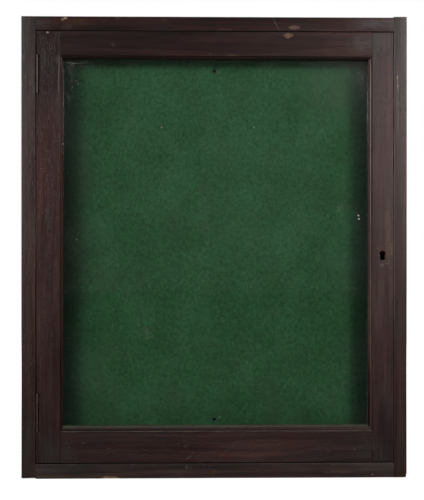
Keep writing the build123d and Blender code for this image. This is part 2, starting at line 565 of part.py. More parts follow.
# ================================================================ hinges
KNUCKLES = 5
KNUCKLE_GAP = 0.15


def hinge_leaf(z_mid, x0, x1, own, planes):
    """A leaf with its knuckles. own says which of the five are this leaf's."""
    pitch = HINGE_L / KNUCKLES
    low = z_mid - HINGE_L / 2
    box(x0, x1, PIN_Y, PIN_Y + LEAF_W, low, low + HINGE_L)
    with BuildSketch(Plane.XY.offset(low)) as barrel:
        with Locations((PIN_X, PIN_Y)):
            Circle(KNUCKLE_R)
    extrude(barrel.sketch, amount=HINGE_L)
    for i in range(KNUCKLES):
        if i not in own:
            z0 = low - 1 if i == 0 else low + i * pitch - KNUCKLE_GAP
            z1 = low + HINGE_L + 1 if i == KNUCKLES - 1 else low + (i + 1) * pitch + KNUCKLE_GAP
            box(PIN_X - KNUCKLE_R - 0.3, PIN_X + KNUCKLE_R + 0.3, PIN_Y - KNUCKLE_R - 1, PIN_Y + KNUCKLE_R + 0.25, z0, z1, mode=Mode.SUBTRACT)
    with BuildSketch(Plane.XY.offset(low - 1)) as bore:
        with Locations((PIN_X, PIN_Y)):
            Circle(HINGE_PIN_R + PIN_CLEAR)
    extrude(bore.sketch, amount=HINGE_L + 2, mode=Mode.SUBTRACT)
    with Locations(*planes):
        add(screw_hole(*HINGE_SCREW), mode=Mode.SUBTRACT)


CASE_LEAF = (XL, XL + LEAF_T)
DOOR_LEAF = (PIN_X + KNUCKLE_R - LEAF_T, PIN_X + KNUCKLE_R)

with BuildPart() as hinge_upper_case_leaf:
    hinge_leaf(HINGE_Z[0], *CASE_LEAF, (0, 2, 4), case_leaf_planes[0:3])
hinge_upper_case_leaf.part.label = "hinge_upper_case_leaf"
export_step(hinge_upper_case_leaf.part, "parts/hinge_upper_case_leaf.step")

with BuildPart() as hinge_lower_case_leaf:
    hinge_leaf(HINGE_Z[1], *CASE_LEAF, (0, 2, 4), case_leaf_planes[3:6])
hinge_lower_case_leaf.part.label = "hinge_lower_case_leaf"
export_step(hinge_lower_case_leaf.part, "parts/hinge_lower_case_leaf.step")

with BuildPart() as hinge_upper_door_leaf:
    hinge_leaf(HINGE_Z[0], *DOOR_LEAF, (1, 3), door_leaf_planes[0:3])
hinge_upper_door_leaf.part.label = "hinge_upper_door_leaf"
export_step(hinge_upper_door_leaf.part, "parts/hinge_upper_door_leaf.step")

with BuildPart() as hinge_lower_door_leaf:
    hinge_leaf(HINGE_Z[1], *DOOR_LEAF, (1, 3), door_leaf_planes[3:6])
hinge_lower_door_leaf.part.label = "hinge_lower_door_leaf"
export_step(hinge_lower_door_leaf.part, "parts/hinge_lower_door_leaf.step")


def hinge_pin(z_mid):
    with BuildSketch(Plane.XY.offset(z_mid - HINGE_L / 2)) as rod:
        with Locations((PIN_X, PIN_Y)):
            Circle(HINGE_PIN_R)
    extrude(rod.sketch, amount=HINGE_L)


with BuildPart() as hinge_upper_pin:
    hinge_pin(HINGE_Z[0])
    chamfer(hinge_upper_pin.edges().filter_by(GeomType.CIRCLE), length=0.3)
hinge_upper_pin.part.label = "hinge_upper_pin"
export_step(hinge_upper_pin.part, "parts/hinge_upper_pin.step")

with BuildPart() as hinge_lower_pin:
    hinge_pin(HINGE_Z[1])
    chamfer(hinge_lower_pin.edges().filter_by(GeomType.CIRCLE), length=0.3)
hinge_lower_pin.part.label = "hinge_lower_pin"
export_step(hinge_lower_pin.part, "parts/hinge_lower_pin.step")

with BuildPart() as hinge_case_screws:
    with Locations(*case_leaf_planes):
        add(screw(*HINGE_SCREW))
hinge_case_screws.part.label = "hinge_case_screws"
export_step(hinge_case_screws.part, "parts/hinge_case_screws.step")

with BuildPart() as hinge_door_screws:
    with Locations(*door_leaf_planes):
        add(screw(*HINGE_SCREW))
hinge_door_screws.part.label = "hinge_door_screws"
export_step(hinge_door_screws.part, "parts/hinge_door_screws.step")

# ================================================================ lock
CAP_Y1 = DOOR_BACK - PLATE_T  # the cap stands on the back plate
CAP_Y0 = CAP_Y1 - CAP_DEEP
CAP_X0, CAP_X1 = LOCK_X0 + 0.9, DOOR_R - PLATE_T
STUMP_X, STUMP_Z, STUMP_R = 229.2, 3.5, 1.2

with BuildPart() as lock_plate:
    box(LOCK_X0, DOOR_R, CAP_Y1, DOOR_BACK, LOCK_Z0, LOCK_Z1)
    box(DOOR_R - PLATE_T, DOOR_R, -58.5, DOOR_BACK, LOCK_Z0, LOCK_Z1)
    # way out for the bolt
    box(DOOR_R - 3, DOOR_R + 1, BOLT_Y0 - 0.15, BOLT_Y1 + 0.15, BOLT_Z0 - 0.15, BOLT_Z1 + 0.15, mode=Mode.SUBTRACT)
    # stump that guides the bolt's slot
    with BuildSketch(Plane.XZ.offset(-CAP_Y1)):
        with Locations((STUMP_X, STUMP_Z)):
            Circle(STUMP_R)
    extrude(amount=CAP_DEEP - CAP_WALL)
    # seat for the key's pin
    with BuildSketch(Plane.XZ.offset(-CAP_Y1 - 1.0)):
        with Locations((KEYHOLE_X, KEYHOLE_Z)):
            Circle(1.2)
    extrude(amount=3, mode=Mode.SUBTRACT)
    with Locations(*lock_back_planes, *lock_edge_planes):
        add(screw_hole(*LOCK_SCREW), mode=Mode.SUBTRACT)
lock_plate.part.label = "lock_plate"
export_step(lock_plate.part, "parts/lock_plate.step")

with BuildPart() as lock_cap:
    box(CAP_X0, CAP_X1, CAP_Y0, CAP_Y1, CAP_Z0, CAP_Z1)
    chamfer(lock_cap.edges().filter_by(Axis.Y), length=0.6)
    box(CAP_X0 + CAP_WALL, CAP_X1 + 1, CAP_Y0 + CAP_WALL, CAP_Y1 + 1, CAP_Z0 + CAP_WALL, CAP_Z1 - CAP_WALL, mode=Mode.SUBTRACT)
    with BuildSketch(Plane.XZ.offset(-CAP_Y0 - 2)):
        with Locations((KEYHOLE_X, KEYHOLE_Z)):
            Circle(KEYHOLE_R - 0.3)
        with Locations((KEYHOLE_X, (KEYHOLE_Z + KEYHOLE_LOW) / 2)):
            Rectangle(KEYHOLE_SLOT - 0.2, KEYHOLE_Z - KEYHOLE_LOW)
    extrude(amount=4, mode=Mode.SUBTRACT)
lock_cap.part.label = "lock_cap"
export_step(lock_cap.part, "parts/lock_cap.step")

with BuildPart() as lock_ward:
    with BuildSketch(Plane.XZ.offset(-CAP_Y0 - CAP_WALL - 1.6)):
        with Locations((KEYHOLE_X, KEYHOLE_Z)):
            Circle(5.9)
            Circle(5.1, mode=Mode.SUBTRACT)
        with Locations((KEYHOLE_X, KEYHOLE_Z - 6)):
            Rectangle(5.6, 8, mode=Mode.SUBTRACT)
    extrude(amount=1.6)
lock_ward.part.label = "lock_ward"
export_step(lock_ward.part, "parts/lock_ward.step")

with BuildPart() as key_pin:
    with BuildSketch(Plane.XZ.offset(-CAP_Y1 - 1.0)):
        with Locations((KEYHOLE_X, KEYHOLE_Z)):
            Circle(1.2)
    extrude(amount=1.0)
    with BuildSketch(Plane.XZ.offset(-CAP_Y1)):
        with Locations((KEYHOLE_X, KEYHOLE_Z)):
            Circle(1.15)
    extrude(amount=14.0)
    chamfer(key_pin.edges().filter_by(GeomType.CIRCLE).sort_by(Axis.Y)[0], length=0.35)
key_pin.part.label = "key_pin"
export_step(key_pin.part, "parts/key_pin.step")

with BuildPart() as lock_screws:
    with Locations(*lock_back_planes, *lock_edge_planes):
        add(screw(*LOCK_SCREW))
lock_screws.part.label = "lock_screws"
export_step(lock_screws.part, "parts/lock_screws.step")

with BuildPart() as lock_bolt:
    box(BOLT_TAIL, DOOR_R - 0.1, BOLT_Y0, BOLT_Y1, BOLT_Z0, BOLT_Z1)
    chamfer(lock_bolt.edges().filter_by(Axis.Z).sort_by(Axis.X)[-2:], length=0.5)
    # talon that the key's bit pushes
    box(KEYHOLE_X - 4.0, KEYHOLE_X + 3.4, BOLT_Y0 - 1, BOLT_Y1 + 1, BOLT_Z0 - 1, BOLT_Z0 + 2.4, mode=Mode.SUBTRACT)
    # slot that runs on the stump: at rest the stump is at its right end
    with BuildSketch(Plane.XZ.offset(-BOLT_Y1 - 1)):
        with Locations((STUMP_X - BOLT_THROW / 2, STUMP_Z)):
            SlotCenterToCenter(BOLT_THROW + 0.4, 2 * STUMP_R + 0.3)
    extrude(amount=BOLT_Y1 - BOLT_Y0 + 3, mode=Mode.SUBTRACT)
lock_bolt.part.label = "lock_bolt"
export_step(lock_bolt.part, "parts/lock_bolt.step")

with BuildPart() as bolt_spring:
    with BuildSketch(Plane.XZ.offset(-BOLT_Y1 + 0.6)):
        with BuildLine():
            lower = Polyline((217.0, BOLT_Z1), (219.5, BOLT_Z1))
            Polyline((217.0, BOLT_Z1), (217.0, BOLT_Z1 + 0.5), (219.4, BOLT_Z1 + 0.5))
            Spline((219.4, BOLT_Z1 + 0.5), (223.0, BOLT_Z1 + 1.3), (227.5, BOLT_Z1 + 2.9), tangents=((1, 0), (1, 0.25)))
            Line((227.5, BOLT_Z1 + 2.9), (227.7, BOLT_Z1 + 2.4))
            Spline((227.7, BOLT_Z1 + 2.4), (223.1, BOLT_Z1 + 0.8), (219.5, BOLT_Z1), tangents=((-1, -0.25), (-1, 0)))
        make_face()
    extrude(amount=3.8)
bolt_spring.part.label = "bolt_spring"
export_step(bolt_spring.part, "parts/bolt_spring.step")

# ---------------------------------------------------------------- strike in the right side
with BuildPart() as strike_plate:
    box(XR, XR + STRIKE_T, -56.5, -44.5, -11.5, 18.5)
    box(XR - 1, XR + 3, BOLT_Y0 - STRIKE_CLEAR, BOLT_Y1 + STRIKE_CLEAR, BOLT_Z0 - STRIKE_CLEAR, BOLT_Z1 + STRIKE_CLEAR, mode=Mode.SUBTRACT)
    with Locations(*strike_planes):
        add(screw_hole(*LOCK_SCREW), mode=Mode.SUBTRACT)
strike_plate.part.label = "strike_plate"
export_step(strike_plate.part, "parts/strike_plate.step")

with BuildPart() as strike_screws:
    with Locations(*strike_planes):
        add(screw(*LOCK_SCREW))
strike_screws.part.label = "strike_screws"
export_step(strike_screws.part, "parts/strike_screws.step")
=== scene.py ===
import bpy
import math
import random
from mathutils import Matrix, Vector
from mathutils.geometry import delaunay_2d_cdt


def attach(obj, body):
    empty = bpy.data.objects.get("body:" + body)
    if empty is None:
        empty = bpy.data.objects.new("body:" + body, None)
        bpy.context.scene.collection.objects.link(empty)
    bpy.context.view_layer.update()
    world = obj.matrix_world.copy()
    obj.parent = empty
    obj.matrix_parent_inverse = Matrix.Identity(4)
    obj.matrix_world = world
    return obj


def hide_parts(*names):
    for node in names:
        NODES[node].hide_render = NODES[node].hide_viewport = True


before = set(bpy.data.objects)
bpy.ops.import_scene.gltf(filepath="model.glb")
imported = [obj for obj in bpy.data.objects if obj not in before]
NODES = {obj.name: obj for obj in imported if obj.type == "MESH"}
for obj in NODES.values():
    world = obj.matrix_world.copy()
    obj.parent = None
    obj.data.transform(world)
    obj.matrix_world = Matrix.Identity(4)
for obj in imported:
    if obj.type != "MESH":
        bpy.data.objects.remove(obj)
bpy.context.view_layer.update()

# ---------------------------------------------------------------- places on the case, in metres
FRONT = -0.064
X_OUT = 0.254
XL, XR = -0.2354, 0.2370  # inner faces of the side boards
ZT, ZB = 0.2849, -0.2846
Z_TOP, Z_BOT = 0.3036, -0.3040
ARRIS_L, ARRIS_R, ARRIS_T, ARRIS_B = -0.2027, 0.2079, 0.2517, -0.2418
SIGHT_L, SIGHT_R, SIGHT_T, SIGHT_B = -0.19875, 0.2021, 0.24695, -0.2341
DOOR_L, DOOR_R, DOOR_T, DOOR_B = -0.2345, 0.2363, 0.2840, -0.2833
BAIZE_FACE, BAIZE_BACK = -0.0102, -0.0090

# ---------------------------------------------------------------- the camera, at the photograph's angle
EYE = Vector((-0.0718, -2.264, 0.0))
AIM = Vector((-0.0036, FRONT, -0.0034))
TALL = 0.6585  # metres that the picture's height takes in at the door
REACH = (AIM - EYE).length
LENS = 36.0 * REACH / TALL


def spot(px, py, y):
    """The point of plane Y=y that shows at a pixel of the 424 by 500 picture."""
    ahead = (AIM - EYE).normalized()
    right = ahead.cross(Vector((0, 0, 1))).normalized()
    up = right.cross(ahead)
    step = TALL / REACH / 500
    ray = ahead + right * ((px - 212) * step) + up * ((250 - py) * step)
    return EYE + ray * ((y - EYE.y) / ray.y)


def lin(r, g, b, a=1.0):
    """A colour given as it looks on screen, 0 to 255, as the linear colour that shaders take."""
    one = lambda c: c / 12.92 if c <= 0.04045 else ((c + 0.055) / 1.055) ** 2.4
    return (one(r / 255), one(g / 255), one(b / 255), a)


# ---------------------------------------------------------------- a short way to write node trees
class Tree:
    def __init__(self, tree):
        self.t = tree

    def add(self, kind, **props):
        n = self.t.nodes.new(kind)
        for key, value in props.items():
            setattr(n, key, value)
        return n

    def put(self, value, socket):
        if isinstance(value, bpy.types.NodeSocket):
            self.t.links.new(value, socket)
        elif value is not None:
            socket.default_value = value

    def math(self, op, a, b=None, c=None, clamp=False):
        n = self.add("ShaderNodeMath", operation=op, use_clamp=clamp)
        for i, v in enumerate((a, b, c)):
            self.put(v, n.inputs[i])
        return n.outputs[0]

    def mul(self, *values):
        out = values[0]
        for v in values[1:]:
            out = self.math("MULTIPLY", out, v)
        return out

    def plus(self, *values):
        out = values[0]
        for v in values[1:]:
            out = self.math("ADD", out, v)
        return out

    def less(self, a, b):
        return self.math("SUBTRACT", a, b)

    def flip(self, a):
        return self.math("SUBTRACT", 1.0, a, clamp=True)

    def most(self, *values):
        out = values[0]
        for v in values[1:]:
            out = self.math("MAXIMUM", out, v)
        return out

    def least(self, *values):
        out = values[0]
        for v in values[1:]:
            out = self.math("MINIMUM", out, v)
        return out

    def vec(self, op, a, b=None, scale=None):
        n = self.add("ShaderNodeVectorMath", operation=op)
        self.put(a, n.inputs[0])
        if b is not None:
            self.put(b, n.inputs[1])
        if scale is not None:
            self.put(scale, n.inputs["Scale"])
        return n.outputs["Value"] if op in ("LENGTH", "DISTANCE", "DOT_PRODUCT") else n.outputs["Vector"]

    def xyz(self, v):
        n = self.add("ShaderNodeSeparateXYZ")
        self.put(v, n.inputs[0])
        return n.outputs[0], n.outputs[1], n.outputs[2]

    def join(self, x, y, z):
        n = self.add("ShaderNodeCombineXYZ")
        for i, v in enumerate((x, y, z)):
            self.put(v, n.inputs[i])
        return n.outputs[0]

    def mix(self, fac, a, b, blend="MIX"):
        n = self.add("ShaderNodeMix", data_type="RGBA", blend_type=blend)
        self.put(fac, n.inputs[0])
        self.put(a, n.inputs[6])
        self.put(b, n.inputs[7])
        return n.outputs[2]

    def blend(self, fac, a, b):
        n = self.add("ShaderNodeMix", data_type="FLOAT")
        self.put(fac, n.inputs[0])
        self.put(a, n.inputs[2])
        self.put(b, n.inputs[3])
        return n.outputs[0]

    def remap(self, x, lo, hi, a=0.0, b=1.0, smooth=True):
        n = self.add("ShaderNodeMapRange", interpolation_type="SMOOTHSTEP" if smooth else "LINEAR", clamp=True)
        for i, v in enumerate((x, lo, hi, a, b)):
            self.put(v, n.inputs[i])
        return n.outputs[0]

    def noise(self, vector, scale, detail=2.0, rough=0.5, twist=0.0):
        n = self.add("ShaderNodeTexNoise", noise_dimensions="3D", normalize=True)
        self.put(vector, n.inputs["Vector"])
        self.put(scale, n.inputs["Scale"])
        n.inputs["Detail"].default_value = detail
        n.inputs["Roughness"].default_value = rough
        n.inputs["Distortion"].default_value = twist
        return n.outputs["Fac"]

    def noise3(self, vector, scale, detail=1.0):
        n = self.add("ShaderNodeTexNoise", noise_dimensions="3D", normalize=True)
        self.put(vector, n.inputs["Vector"])
        self.put(scale, n.inputs["Scale"])
        n.inputs["Detail"].default_value = detail
        return self.vec("SUBTRACT", n.outputs["Color"], (0.5, 0.5, 0.5))

    def cells(self, vector, scale, feature="F1", chance=1.0):
        n = self.add("ShaderNodeTexVoronoi", voronoi_dimensions="3D", feature=feature)
        self.put(vector, n.inputs["Vector"])
        self.put(scale, n.inputs["Scale"])
        n.inputs["Randomness"].default_value = chance
        return n

    def ramp(self, fac, *stops):
        n = self.add("ShaderNodeValToRGB")
        ramp = n.color_ramp
        ramp.interpolation = "EASE"
        while len(ramp.elements) < len(stops):
            ramp.elements.new(0.5)
        for element, (place, colour) in zip(ramp.elements, stops):
            element.position = place
            element.color = colour
        self.put(fac, n.inputs[0])
        return n.outputs[0]

    def group(self, tree, *values):
        n = self.add("ShaderNodeGroup", node_tree=tree)
        for i, v in enumerate(values):
            self.put(v, n.inputs[i])
        return n.outputs[0]


def new_group(name, inputs, output="Mask"):
    """An empty shader node group: inputs is a list of (name, socket kind)."""
    tree = bpy.data.node_groups.new(name, "ShaderNodeTree")
    for label, kind in inputs:
        tree.interface.new_socket(label, in_out="INPUT", socket_type=kind)
    tree.interface.new_socket(output, in_out="OUTPUT", socket_type="NodeSocketFloat")
    t = Tree(tree)
    return tree, t, t.add("NodeGroupInput").outputs, t.add("NodeGroupOutput").inputs


VECTOR, FLOAT = "NodeSocketVector", "NodeSocketFloat"


def stroke_group():
    """1 on a straight scratch from A to B, fading out over Soft beyond Width."""
    tree, t, i, o = new_group("stroke", [("P", VECTOR), ("A", VECTOR), ("B", VECTOR), ("Width", FLOAT), ("Soft", FLOAT)])
    pa, ba = t.vec("SUBTRACT", i[0], i[1]), t.vec("SUBTRACT", i[2], i[1])
    h = t.math("DIVIDE", t.vec("DOT_PRODUCT", pa, ba), t.vec("DOT_PRODUCT", ba, ba), clamp=True)
    d = t.vec("LENGTH", t.vec("SUBTRACT", pa, t.vec("SCALE", ba, scale=h)))
    t.put(t.remap(d, i[3], t.plus(i[3], i[4]), 1.0, 0.0), o[0])
    return tree


def patch_group():
    """1 inside an oval round C with half-widths R, fading out at its ragged rim."""
    tree, t, i, o = new_group("patch", [("P", VECTOR), ("C", VECTOR), ("R", VECTOR), ("Soft", FLOAT), ("Ragged", FLOAT)])
    d = t.vec("LENGTH", t.vec("DIVIDE", t.vec("SUBTRACT", i[0], i[1]), i[2]))
    t.put(t.remap(t.plus(d, i[4]), t.less(1.0, i[3]), 1.0, 1.0, 0.0), o[0])
    return tree


def rim_group():
    """How far a point is from the edge where two coordinates have given values."""
    tree, t, i, o = new_group("rim", [("U", FLOAT), ("U0", FLOAT), ("V", FLOAT), ("V0", FLOAT)], "Distance")
    du, dv = t.less(i[0], i[1]), t.less(i[2], i[3])
    t.put(t.math("SQRT", t.plus(t.mul(du, du), t.mul(dv, dv))), o[0])
    return tree


STROKE, PATCH, RIM = stroke_group(), patch_group(), rim_group()


def new_material(name):
    mat = bpy.data.materials.new(name)
    mat.use_nodes = True
    mat.node_tree.nodes.clear()
    t = Tree(mat.node_tree)
    return mat, t, t.add("ShaderNodeOutputMaterial")


def surface(t, out, colour, rough, bump=None, metallic=0.0, shine=0.5, coat=0.0, coat_rough=0.2, sheen=0.0, sheen_rough=0.5, sheen_tint=(1, 1, 1, 1)):
    """A Principled shader on the output. bump is (height, distance in metres, strength)."""
    p = t.add("ShaderNodeBsdfPrincipled")
    t.put(colour, p.inputs["Base Color"])
    t.put(rough, p.inputs["Roughness"])
    t.put(metallic, p.inputs["Metallic"])
    p.inputs["Specular IOR Level"].default_value = shine
    p.inputs["Coat Weight"].default_value = coat
    p.inputs["Coat Roughness"].default_value = coat_rough
    p.inputs["Sheen Weight"].default_value = sheen
    p.inputs["Sheen Roughness"].default_value = sheen_rough
    p.inputs["Sheen Tint"].default_value = sheen_tint
    if bump:
        b = t.add("ShaderNodeBump")
        t.put(bump[0], b.inputs["Height"])
        b.inputs["Distance"].default_value = bump[1]
        b.inputs["Strength"].default_value = bump[2]
        t.put(b.outputs[0], p.inputs["Normal"])
    t.put(p.outputs[0], out.inputs["Surface"])
    return p


# ---------------------------------------------------------------- wear on the polished wood, with painted light and shade
# Each mark is (kind, colour, strength, places...). Places are pixels of the picture's front plane.
TAN, PALE, GREY = lin(128, 104, 84), lin(112, 102, 98), lin(84, 78, 77)
RUST, ORANGE, RED = lin(72, 50, 40), lin(58, 37, 23), lin(56, 31, 27)


def stroke(x0, y0, x1, y1, width=0.4, soft=0.5, colour=PALE, strength=0.6):
    return ("stroke", (x0, y0), (x1, y1), width, soft, colour, strength)


def patch(x, y, rx, ry, colour=RUST, strength=0.5, soft=0.6, ragged=1.3):
    return ("patch", (x, y), (rx, ry), soft, ragged, colour, strength)


def wood(name, axis, seed, tone=1.0, red=0.5, bloom=0.5, edge_wear_and_glints=(), joint_dirt_and_shade=(), marks=(), polish=0.30, shine=0.34, shade=(), cast=None, glass_edge_shade_and_dirt=(), moulding_highlight_bands=(), joint_fill_light=(), dusty=0.32, dust_tint=lin(102, 108, 84)):
    """Old polished mahogany with its grain along one axis of the case.
    rims are edges, with wear and, on the mouldings round the glass, painted highlights: (axis, value, axis, value,
    width in mm, strength), and then perhaps (axis, from, to).
    gaps are the faces in the joint round the door, darkened with dirt and painted shade: (axis, value, strength), and
    then perhaps (axis, from, to, what is left of it) for where it thins out. shade is painted light and shade along the
    board's grain: (place, tone) in order.
    soil is painted shade and dirt along the glass and under the top moulding: (axis, value, width in mm, strength), and
    then perhaps the depth in mm where it starts, and (axis, from, to, what is left of it before from). rub is painted
    highlight bands on a moulding, between
    two lines, over part of its length: (axis, from, to, strength, axis, from, to). bare is painted light on an arris or
    face in the joint,
    lifting it out of the shade there: (axis, value, depth in mm, strength, colour, axis, from, to). dusty is
    how thickly dust lies on what looks up."""
    mat, t, out = new_material(name)
    coord = t.add("ShaderNodeTexCoord")
    p = coord.outputs["Object"]
    nx, ny, nz = t.xyz(coord.outputs["Normal"])
    x, y, z = t.xyz(p)
    shift = (seed * 1.713, seed * 0.917, seed * 2.291)
    across, along = (x, z) if axis == "Z" else (z, x)
    # slow wander of the grain
    slow = t.join(t.mul(across, 2.0), t.mul(y, 2.0), t.mul(along, 0.9))
    slow = t.vec("ADD", slow, shift)
    wander = t.mul(t.less(t.noise(slow, 3.2, 1.0), 0.5), 0.016)
    a2 = t.plus(across, wander)
    g = lambda stretch: t.vec("ADD", t.join(a2, y, t.mul(along, stretch)), shift)
    broad = t.noise(g(0.055), 52.0, 2.0, 0.55)
    streak = t.noise(g(0.030), 190.0, 2.0, 0.6)
    fine = t.noise(g(0.040), 520.0, 2.0, 0.6)
    hair = t.noise(g(0.020), 1250.0, 1.0, 0.5)
    pore = t.noise(g(0.060), 1500.0, 1.0, 0.5)
    pores = t.mul(t.remap(pore, 0.60, 0.70), t.remap(streak, 0.30, 0.62, 0.35, 1.0))
    patches = t.noise(t.vec("ADD", t.join(t.mul(across, 1.0), y, t.mul(along, 0.42)), shift), 17.0, 4.0, 0.62)
    hue = t.noise(t.vec("ADD", t.join(t.mul(a2, 1.5), y, t.mul(along, 0.34)), (shift[1], shift[2], shift[0])), 21.0, 3.0, 0.6)

    dark, mid, warm = lin(38, 24, 22), lin(52, 31, 27), lin(66, 37, 30)
    colour = t.ramp(t.plus(t.mul(broad, 0.45), t.mul(streak, 0.55)), (0.28, dark), (0.50, mid), (0.74, warm))
    redder = t.mix(1.0, colour, (1.26, 0.86, 0.84, 1.0), "MULTIPLY")
    colour = t.mix(t.mul(t.remap(hue, 0.44, 0.64), red), colour, redder)
    greyer = t.mix(1.0, colour, (0.82, 1.08, 1.10, 1.0), "MULTIPLY")
    colour = t.mix(t.mul(t.remap(hue, 0.50, 0.34), 0.8), colour, greyer)
    level = t.mul(t.remap(streak, 0.25, 0.75, 0.78, 1.24, False), t.remap(fine, 0.22, 0.78, 0.74, 1.28, False), t.remap(hair, 0.2, 0.8, 0.90, 1.10, False), t.remap(patches, 0.25, 0.75, 0.80, 1.22, False), tone)
    # painted light and shade: steps of brightness along the board's grain
    if shade:
        wavy = t.plus(along, t.mul(t.less(patches, 0.5), 0.05))
        here = shade[0][1]
        for (p0, k0), (p1, k1) in zip(shade, shade[1:]):
            here = t.plus(here, t.remap(wavy, p0, p1, 0.0, k1 - k0))
        level = t.mul(level, here)
    colour = t.vec("SCALE", colour, scale=level)
    if cast:
        colour = t.mix(1.0, colour, (*cast, 1.0), "MULTIPLY")
    haze = t.mul(t.remap(patches, 0.46, 0.72), t.remap(fine, 0.2, 0.8, 0.4, 1.0), bloom)
    colour = t.mix(t.mul(haze, 0.10), colour, lin(108, 104, 104))
    colour = t.mix(t.mul(pores, 0.55), colour, lin(13, 9, 8))

    # painted highlight bands along the moulding
    for ax, u0, u1, strength, ax2, lo, hi in moulding_highlight_bands:
        u, v = (x, y, z)[ax], (x, y, z)[ax2]
        m = t.mul(t.remap(u, u0 - 0.0003, u0), t.remap(u, u1, u1 + 0.0003, 1.0, 0.0), t.remap(v, lo - 0.03, lo), t.remap(v, hi, hi + 0.01, 1.0, 0.0), t.remap(fine, 0.25, 0.7, 0.6, 1.0))
        colour = t.mix(t.mul(m, strength), colour, lin(104, 88, 80))
    # painted shade and dirt along the glass and under the top moulding
    for ax, value, width, strength, *more in glass_edge_shade_and_dirt:
        start = more[0] if more else 3.0
        d = t.math("ABSOLUTE", t.less((x, y, z)[ax], value))
        one = t.mul(t.remap(d, width * 0.0004, width * 0.001, 1.0, 0.0), t.remap(y, FRONT + start * 0.001, FRONT + start * 0.0017), strength)
        if len(more) > 1:
            ax2, lo, hi, least = more[1]
            one = t.mul(one, t.remap((x, y, z)[ax2], lo, hi, least, 1.0))
        colour = t.mix(one, colour, lin(20, 17, 14))

    # end grain, where a face looks along the grain
    ends = t.remap(t.math("ABSOLUTE", nz if axis == "Z" else nx), 0.70, 0.90)
    rings = t.noise(t.vec("ADD", t.join(t.mul(across, 1.0), t.mul(y, 1.0), 0.0), shift), 340.0, 3.0, 0.65)
    end_dark = t.ramp(rings, (0.30, lin(18, 12, 11)), (0.70, lin(40, 28, 25)))
    colour = t.mix(t.mul(ends, 0.85), colour, end_dark)

    # wear along the edges, and painted highlights along the arrises round the glass
    rag = t.noise(p, 260.0, 3.0, 0.65)
    rough_edge = t.noise(p, 34.0, 3.0, 0.65)
    wear_and_glint = None
    for ax0, v0, ax1, v1, width, strength, *span in edge_wear_and_glints:
        d = t.group(RIM, (x, y, z)[ax0], v0, (x, y, z)[ax1], v1)
        reach = t.mul(t.remap(rough_edge, 0.34, 0.68, 0.25, 1.0), width * 0.001)
        one = t.mul(t.remap(d, t.mul(reach, 0.25), reach, 1.0, 0.0), strength)
        if span:
            ax, lo, hi = span[0]
            one = t.mul(one, t.remap((x, y, z)[ax], lo - 0.004, lo), t.remap((x, y, z)[ax], hi + 0.004, hi))
        wear_and_glint = one if wear_and_glint is None else t.most(wear_and_glint, one)
    if wear_and_glint is not None:
        wear_and_glint = t.mul(wear_and_glint, t.remap(rag, 0.30, 0.60, 0.45, 1.0))
        colour = t.mix(wear_and_glint, colour, lin(104, 88, 82))

    # scratches, chips and stains on the front, with some painted highlights and sheen
    if marks:
        front = t.remap(y, FRONT + 0.0022, FRONT + 0.0012)
        jitter = t.vec("SCALE", t.noise3(p, 420.0, 2.0), scale=0.0018)
        flat = t.vec("MULTIPLY", t.vec("ADD", p, jitter), (1.0, 0.0, 1.0))
        ragged_noise = t.less(t.noise(p, 300.0, 4.0, 0.68), 0.5)
        broken = t.remap(t.noise(g(0.2), 420.0, 3.0, 0.6), 0.34, 0.60, 0.35, 1.0)
        for kind, a, b, c, d, tint, strength in marks:
            pa = spot(a[0], a[1], FRONT)
            if kind == "stroke":
                pb = spot(b[0], b[1], FRONT)
                m = t.group(STROKE, flat, (pa.x, 0, pa.z), (pb.x, 0, pb.z), c * 0.001, d * 0.001)
            else:
                m = t.group(PATCH, flat, (pa.x, 0, pa.z), (b[0] * 0.001318, 1.0, b[1] * 0.001318), c, t.mul(ragged_noise, d))
            colour = t.mix(t.mul(m, front, broken, strength), colour, tint)

    # dirt and painted shade in the joint round the door
    grime_and_shade = None
    for ax, value, strength, *thin in joint_dirt_and_shade:
        d = t.math("ABSOLUTE", t.less((x, y, z)[ax], value))
        one = t.mul(t.remap(d, 0.0009, 0.0004), t.remap(y, FRONT + 0.0002, FRONT + 0.0008), strength)
        if thin:
            ax2, lo, hi, least = thin[0]
            one = t.mul(one, t.remap(t.plus((x, y, z)[ax2], t.mul(t.less(rough_edge, 0.5), 0.06)), lo, hi, 1.0, least))
        grime_and_shade = one if grime_and_shade is None else t.most(grime_and_shade, one)
    if grime_and_shade is not None:
        colour = t.mix(t.mul(grime_and_shade, 0.88), colour, (0.0016, 0.0012, 0.0011, 1))

    # painted light on arrises and faces in the joint, lifting them out of the shade there
    for ax, value, deep, strength, tint, ax2, lo, hi in joint_fill_light:
        d = t.math("ABSOLUTE", t.less((x, y, z)[ax], value))
        m = t.mul(t.remap(d, 0.0009, 0.0005), t.remap(y, FRONT + deep * 0.0006, FRONT + deep * 0.001, 1.0, 0.0), t.remap(rough_edge, 0.30, 0.50, 0.35, 1.0), strength)
        m = t.mul(m, t.remap((x, y, z)[ax2], lo - 0.02, lo + 0.02), t.remap((x, y, z)[ax2], hi - 0.01, hi + 0.01, 1.0, 0.0))
        colour = t.mix(m, colour, tint)

    # dust that has settled on whatever looks up
    dust = t.mul(t.remap(nz, 0.30, 0.95), t.remap(t.noise(p, 130.0, 3.0, 0.6), 0.30, 0.66, 0.45, 1.0))
    if grime_and_shade is not None:
        dust = t.mul(dust, t.flip(grime_and_shade))
    colour = t.mix(t.mul(dust, dusty), colour, dust_tint)

    rough = t.plus(polish, t.mul(t.less(streak, 0.5), 0.14), t.mul(haze, 0.10), t.mul(ends, 0.25), t.mul(dust, 0.30), t.mul(pores, 0.12))
    if grime_and_shade is not None:
        rough = t.plus(rough, t.mul(grime_and_shade, 0.4))
    height = t.plus(t.mul(fine, 0.45), t.mul(streak, 0.55), t.mul(pores, -0.9), t.mul(patches, 1.2))
    surface(t, out, colour, rough, (height, 0.00010, 0.75), shine=shine)
    return mat


